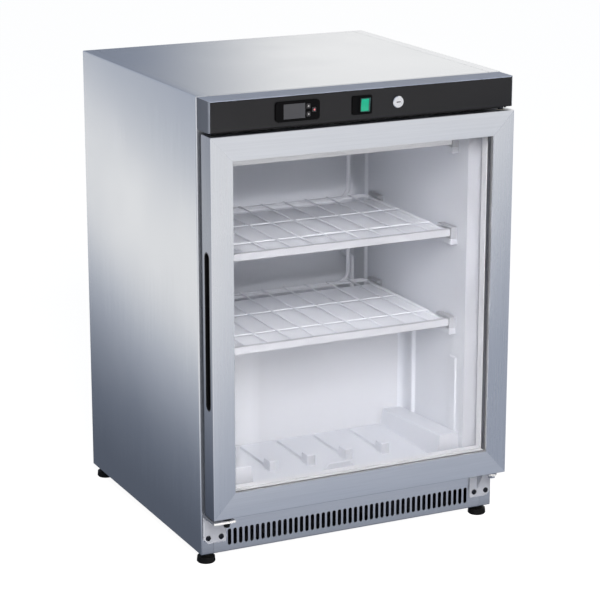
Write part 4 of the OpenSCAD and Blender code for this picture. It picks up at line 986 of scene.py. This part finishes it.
@dataclass
class ControlFascia(Assembly):
    """Black fascia with controller, switch and lock."""

    shell_edge: float = 1.0 * MM
    shell_facing: float = 0.5
    key_edge: float = 0.8 * MM
    mark_height: float = 0.1 * MM
    marks: tuple[KeyMark, ...] = (
        KeyMark("controller_key_up", Body.KEY_UP, MARK_WHITE, 3, 90.0, 1.8 * MM),
        KeyMark("controller_key_down", Body.KEY_DOWN, MARK_WHITE, 3, 270.0, 1.8 * MM),
        KeyMark("controller_key_set", Body.KEY_SET, MARK_RED, 8, 22.5, 2.0 * MM, 0.72))
    # Extra width of the plate on the switch's left: a painted shadow of the switch.
    plate_left: float = 14.0 * MM
    plate_rim: float = 1.0 * MM
    plate_height: float = 2.6 * MM
    plate_corners: Span = (2.0 * MM, 3.0 * MM)
    plate_rows: Levels = ((1.0, -0.2), (1.0, 0.7), (0.97, 0.95), (0.90, 1.0), (0.04, 1.0), (0.0, 0.9),
                          (0.0, -0.2))
    # Size of the black plaque in the keyway and its depth behind the plug's face: painted shade of the slot.
    keyway: Span = (7.8 * MM, 1.6 * MM)
    keyway_shade_depth: float = 0.4 * MM

    def build(self) -> None:
        """Rounds the controls, paints sheen on the fascia's sides and top, and adds the switch plate with its
        painted shadow and the key marks.
        """
        self.rounded(FASCIA_BLACK, Body.CABINET, "black_plastic", self.shell_edge, "fascia")
        shell = self.pieces[0]
        # Sides and top of the fascia take lighter copies of its black plastic: painted sheen.
        self.repaint(shell, FASCIA_SIDE_SHEEN, lambda facing, middle: np.abs(facing[:, 0]) > self.shell_facing)
        self.repaint(shell, FASCIA_TOP_SHEEN, lambda facing, middle: facing[:, 2] > self.shell_facing)
        self.rounded(BEZEL_BLACK, Body.CABINET, "black_plastic", self.shell_edge, "controller_body",
                     "switch_frame")
        self.coat(WINDOW_SMOKE, "controller_window")
        for mark in self.marks:
            self.rounded(KEY_GREY, mark.body, "key_grey", self.key_edge, mark.node)
        self.rounded(ROCKER_GREEN, Body.SWITCH, "green_rocker", self.key_edge, "switch_rocker")
        self.make_switch_plate()
        self.make_marks()
        self.coat(CHROME, "lock_housing", "lock_plug")
        self.coat(ZINC, "lock_cam")

    def make_switch_plate(self) -> None:
        """Black plate round the switch; its extra width on the left is a painted shadow of the switch.

        Between an inner loop round the switch frame and an outer loop, each column of the grid takes a
        share of the way outwards and of the height: up from the fascia, over a rounded lip and down.
        """
        low, high = np.array(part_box("switch_frame"))
        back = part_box("fascia")[0][1]
        half = (high[0] - low[0]) / 2
        # The outer loop reaches further left by the width of the painted shadow.
        rim, shadow_reach = self.plate_rim, self.plate_left
        inner, _ = Loop(half, low[2], high[2], self.plate_corners[0]).points()
        outer, _ = Loop(half + shadow_reach / 2, low[2] - rim, high[2] + rim, self.plate_corners[1]).points()
        inner[:, 0] += (low[0] + high[0]) / 2
        outer[:, 0] += (low[0] + high[0] + rim - shadow_reach) / 2
        share, rise = np.array(self.plate_rows).T
        flat = inner[:, None] + share[:, None] * (outer - inner)[:, None]
        plate = lofted("switch_plate", flat, back - rise * self.plate_height, smooth=40.0)
        self.keep(plate, BEZEL_BLACK, Body.CABINET, "black_plastic")

    def make_marks(self) -> None:
        """Prints triangles on the up and down keys and a red star on the set key, and puts a black plaque in
        the keyway as painted shade.
        """
        height, shade_depth = self.mark_height, self.keyway_shade_depth
        for mark in self.marks:
            low, high = np.array(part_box(mark.node))
            x, _, z = (low + high) / 2
            star = plaque(f"{mark.node}_mark", mark.outline(x, z), low[1] - height, 2 * height)
            self.keep(star, mark.finish, mark.body, "key_grey")
        low, high = np.array(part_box("lock_plug"))
        x, _, z = (low + high) / 2
        # Black plaque inside the keyway: painted shade of the slot.
        keyway_shade_plaque = plaque("keyway_painted_shade", slot_outline(x, z, *self.keyway), low[1] + shade_depth, shade_depth)
        self.keep(keyway_shade_plaque, CUP_BLACK, Body.LOCK, "black_plastic")


@dataclass
class Hinges(Assembly):
    """Brackets, pins, plug and screws."""

    sheet_edge: float = 0.4 * MM
    nose: float = 14.0 * MM
    nose_facing: float = 0.6

    def build(self) -> None:
        """Coats the hinge pieces and rounds the brackets, with a painted highlight on their noses."""
        self.coat(ZINC, "lower_hinge_pin")
        self.coat(SCREW_STEEL, "upper_hinge_bracket", "upper_hinge_pin", "bracket_screws")
        self.rounded(BRACKET_SATIN, Body.CABINET, "zinc", self.sheet_edge, "lower_hinge_bracket",
                     "spare_hinge_bracket")
        # Forward faces at each bracket's nose take the bright white: a painted highlight.
        for piece in self.pieces:
            self.repaint(piece, NOSE_HIGHLIGHT, self.nose_faces)
        self.coat(RUBBER_BLACK, "spare_bracket_plug")

    def nose_faces(self, facing: Array, middle: Array) -> Array:
        """Chooses the forward faces at the front end of a bracket."""
        return (facing[:, 1] < -self.nose_facing) & (middle[:, 1] < middle[:, 1].min() + self.nose)


@dataclass
class MachineBay(Assembly):
    """Compressor, condenser and fan behind the rear cover."""

    def build(self) -> None:
        """Coats the machine pieces."""
        self.coat(SHELL_BLACK, "compressor")
        self.coat(RUBBER_BLACK, "compressor_mounts", "fan_motor", "fan_blade", "drip_tray")
        self.coat(COIL, "condenser")
        self.coat(COPPER, "refrigerant_pipes")


# Studio


@dataclass(frozen=True)
class Lamp:
    """A square soft lamp, and whether reflections and rays through glass meet it."""

    name: str
    place: Point
    aim: Point
    size: float
    watts: float
    mirrored: bool = True
    through_glass: bool = True


def aimed(place: Point, way: Vector) -> Matrix:
    """Matrix that puts a camera or lamp at a place and points it along a direction."""
    return Matrix.Translation(place) @ way.to_track_quat("-Z", "Y").to_matrix().to_4x4()


@dataclass
class Studio:
    """Pale floor, soft lamps, world and camera."""

    camera_place: Point = (-1.7678, -3.6882, 1.5307)
    yaw: float = 25.81
    pitch: float = 15.46
    focal_pixels: float = 2230.2
    image_width: float = 600.0
    sensor: float = 36.0
    far: float = 200.0
    floor_half: float = 40.0
    floor_matte: Colour = (0.36, 0.37, 0.40)
    floor_pale: Colour = (0.36, 0.36, 0.36)
    floor_glow: float = 0.95
    front_slant: float = 0.75
    side_start: Span = (-0.42, -0.22)
    ramp_length: float = 4.0
    front_levels: Levels = ((0.70, 0.40), (0.97, 0.55), (1.39, 0.73), (1.76, 0.95), (3.20, 0.97),
                            (4.00, 0.86))
    side_levels: Levels = ((0.36, 0.12), (0.54, 0.20), (0.80, 0.54), (1.02, 1.00), (1.66, 1.00),
                           (1.88, 0.56), (2.40, 0.44))
    pane_fade: Span = (-1.75, -1.40)
    pane_levels: Span = (0.12, 0.55)
    sheet_level: float = 0.62
    sheet_slope: float = 0.46
    sheet_edge: Span = (-0.348, -0.336)
    sky_soft: Colour = (0.66, 0.80, 1.0)
    sky_strength: float = 0.11
    sky_levels: Levels = ((0.50, 0.50), (0.66, 0.24), (0.685, 0.30), (0.712, 1.00), (1.00, 0.95))
    dim_red_loss: float = 0.16
    dim_blue_gain: float = 0.36
    lamp_colour: Colour = (1.0, 0.955, 0.88)
    lamps: tuple[Lamp, ...] = (
        Lamp("key", (-1.2, -3.6, 2.6), (0.0, 0.0, 0.42), 1.5, 113.0, mirrored=False),
        Lamp("front", (-0.5, -4.2, 1.0), (0.0, 0.0, 0.5), 1.6, 4.0),
        Lamp("low", (-0.2, -1.5, 0.10), (0.0, 0.0, 0.30), 0.6, 15.0, mirrored=False, through_glass=False))

    def build(self) -> None:
        """Sets up the whole studio."""
        bpy.context.scene.view_settings.view_transform = "Standard"
        self.make_camera()
        self.make_floor()
        self.make_world()
        for lamp in self.lamps:
            self.hang(lamp)

    def make_camera(self) -> None:
        """Places the camera from its yaw and pitch, with the focal length in pixels of the image."""
        data = bpy.data.cameras.new("camera")
        data.sensor_width = self.sensor
        data.lens = self.focal_pixels / self.image_width * self.sensor
        data.clip_end = self.far
        yaw, pitch = math.radians(self.yaw), math.radians(self.pitch)
        level = math.cos(pitch)
        ahead = Vector((math.sin(yaw) * level, math.cos(yaw) * level, -math.sin(pitch)))
        camera = placed("camera", data)
        camera.matrix_world = aimed(self.camera_place, ahead)
        bpy.context.scene.camera = camera

    def make_floor(self) -> None:
        """Lays the floor: white to the camera, and in reflections dim near the part and light further out."""
        corners = self.floor_half * np.array([[-1, -1, 0], [1, -1, 0], [1, 1, 0], [-1, 1, 0]])
        floor = mesh_object("floor", corners, [[0, 1, 2, 3]])
        made = bpy.data.materials.new("studio_floor")
        bench = Bench.on(made)
        matte = bench.join("BsdfDiffuse", rgba(self.floor_matte))
        pale = bench.join("BsdfDiffuse", rgba(self.floor_pale))
        glow = bench.join("Emission", rgba(WHITE), self.floor_glow)
        seen = bench.join("AddShader", pale, glow)
        place = bench.add("NewGeometry").outputs["Position"]
        x, y, _ = bench.add("SeparateXYZ", Vector=place).outputs
        slant = bench.math("MULTIPLY", x, self.front_slant)
        ahead = bench.math("SUBTRACT", bench.math("MULTIPLY", y, -1.0), slant)
        front = self.levels(bench, ahead, self.front_levels, self.ramp_length)
        beside = self.levels(bench, bench.math("ABSOLUTE", x), self.side_levels, self.ramp_length)
        tone = bench.blend(bench.ease(y, *self.side_start), front, beside)
        mirrored = bench.join("Emission", tone, 1.0)
        surface = bench.mix(self.direct(bench, "Is Camera Ray", "Is Transmission Ray"), matte, seen)
        surface = bench.mix(self.direct(bench, "Is Glossy Ray"), surface, mirrored)
        surface = bench.mix(self.direct(bench, "Is Singular Ray"), surface, self.pane_sheen(bench, x, y))
        bench.add("OutputMaterial", Surface=surface)
        floor.data.materials.append(made)

    def pane_sheen(self, bench: Bench, x: Socket, y: Socket) -> Socket:
        """Floor as the door's panes mirror it: pale close to the door, with a brighter sheet on its left.

        Args:
            bench: Bench on the floor's tree.
            x: Place on the floor in x.
            y: Place on the floor in y.

        Returns:
            The shader.
        """
        near = bench.ease(y, *self.pane_fade, *self.pane_levels)
        along = bench.math("ADD", x, bench.math("MULTIPLY", y, self.sheet_slope))
        sheet = bench.ease(along, *self.sheet_edge, self.sheet_level, 0.0)
        faded = bench.math("MULTIPLY", sheet, bench.ease(y, *self.pane_fade))
        return bench.join("Emission", rgba(WHITE), bench.math("ADD", near, faded))

    def direct(self, bench: Bench, *kinds: str) -> Socket:
        """Mask of the rays of some kinds that have met no matte surface, so they light nothing.

        Args:
            bench: Bench on the tree.
            kinds: Outputs of the light path, such as Is Camera Ray.

        Returns:
            The mask.
        """
        path = bench.add("LightPath").outputs
        kind = path[kinds[0]]
        for other in kinds[1:]:
            kind = bench.math("MAXIMUM", kind, path[other])
        return bench.math("MULTIPLY", bench.math("LESS_THAN", path["Diffuse Depth"], 0.5), kind)

    def levels(self, bench: Bench, along: Socket, stops: Levels, length: float = 1.0) -> Socket:
        """Ramp of greys for what the metal mirrors, bluer where they are dim.

        Args:
            bench: Bench on the tree.
            along: Position along the ramp.
            stops: Places and levels of the ramp.
            length: Length of the whole ramp.

        Returns:
            The colour.
        """
        ramp = bench.add("ValToRGB", Fac=bench.math("DIVIDE", along, length))
        elements = ramp.color_ramp.elements
        for index, (place, level) in enumerate(stops):
            point = elements[index] if index < 2 else elements.new(place / length)
            point.position = place / length
            red = 1.0 - self.dim_red_loss * (1.0 - level)
            blue = 1.0 + self.dim_blue_gain * (1.0 - level)
            point.color = rgba((level * red, level, level * blue))
        return ramp.outputs["Color"]

    def make_world(self) -> None:
        """Soft light from all sides; white to the camera, and in reflections a ramp from the middle to +X."""
        world = bpy.data.worlds.new("studio")
        bench = Bench.on(world)
        way = bench.add("TexCoord").outputs["Generated"]
        across = bench.span(bench.join("SeparateXYZ", way), 0.5, 1.0)
        soft = bench.join("Background", rgba(self.sky_soft), self.sky_strength)
        white = bench.join("Background", rgba(WHITE), 1.0)
        above = bench.join("Background", self.levels(bench, across, self.sky_levels), 1.0)
        surface = bench.mix(self.direct(bench, "Is Camera Ray", "Is Transmission Ray"), soft, white)
        surface = bench.mix(self.direct(bench, "Is Glossy Ray"), surface, above)
        bench.add("OutputWorld", Surface=surface)
        bpy.context.scene.world = world

    def hang(self, lamp: Lamp) -> None:
        """Hangs a lamp.

        Args:
            lamp: The lamp.
        """
        data = bpy.data.lights.new(lamp.name, "AREA")
        data.size = lamp.size
        data.energy = lamp.watts
        data.color = self.lamp_colour
        made = placed(lamp.name, data)
        made.matrix_world = aimed(lamp.place, Vector(lamp.aim) - Vector(lamp.place))
        made.visible_glossy = lamp.mirrored
        made.visible_transmission = lamp.through_glass


def main() -> None:
    """Builds every sub-assembly on the frame, then the studio."""
    logging.basicConfig(level=logging.INFO, format="%(name)s: %(message)s")
    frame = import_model()
    nodes = frame["nodes"]
    for kind in (Cabinet, InsulatedBox, ColdShelves, GlassDoor, ControlFascia, Hinges, MachineBay):
        assembly = kind(nodes)
        assembly.build()
        assembly.report()
    Studio().build()


if __name__ == "__main__":
    main()
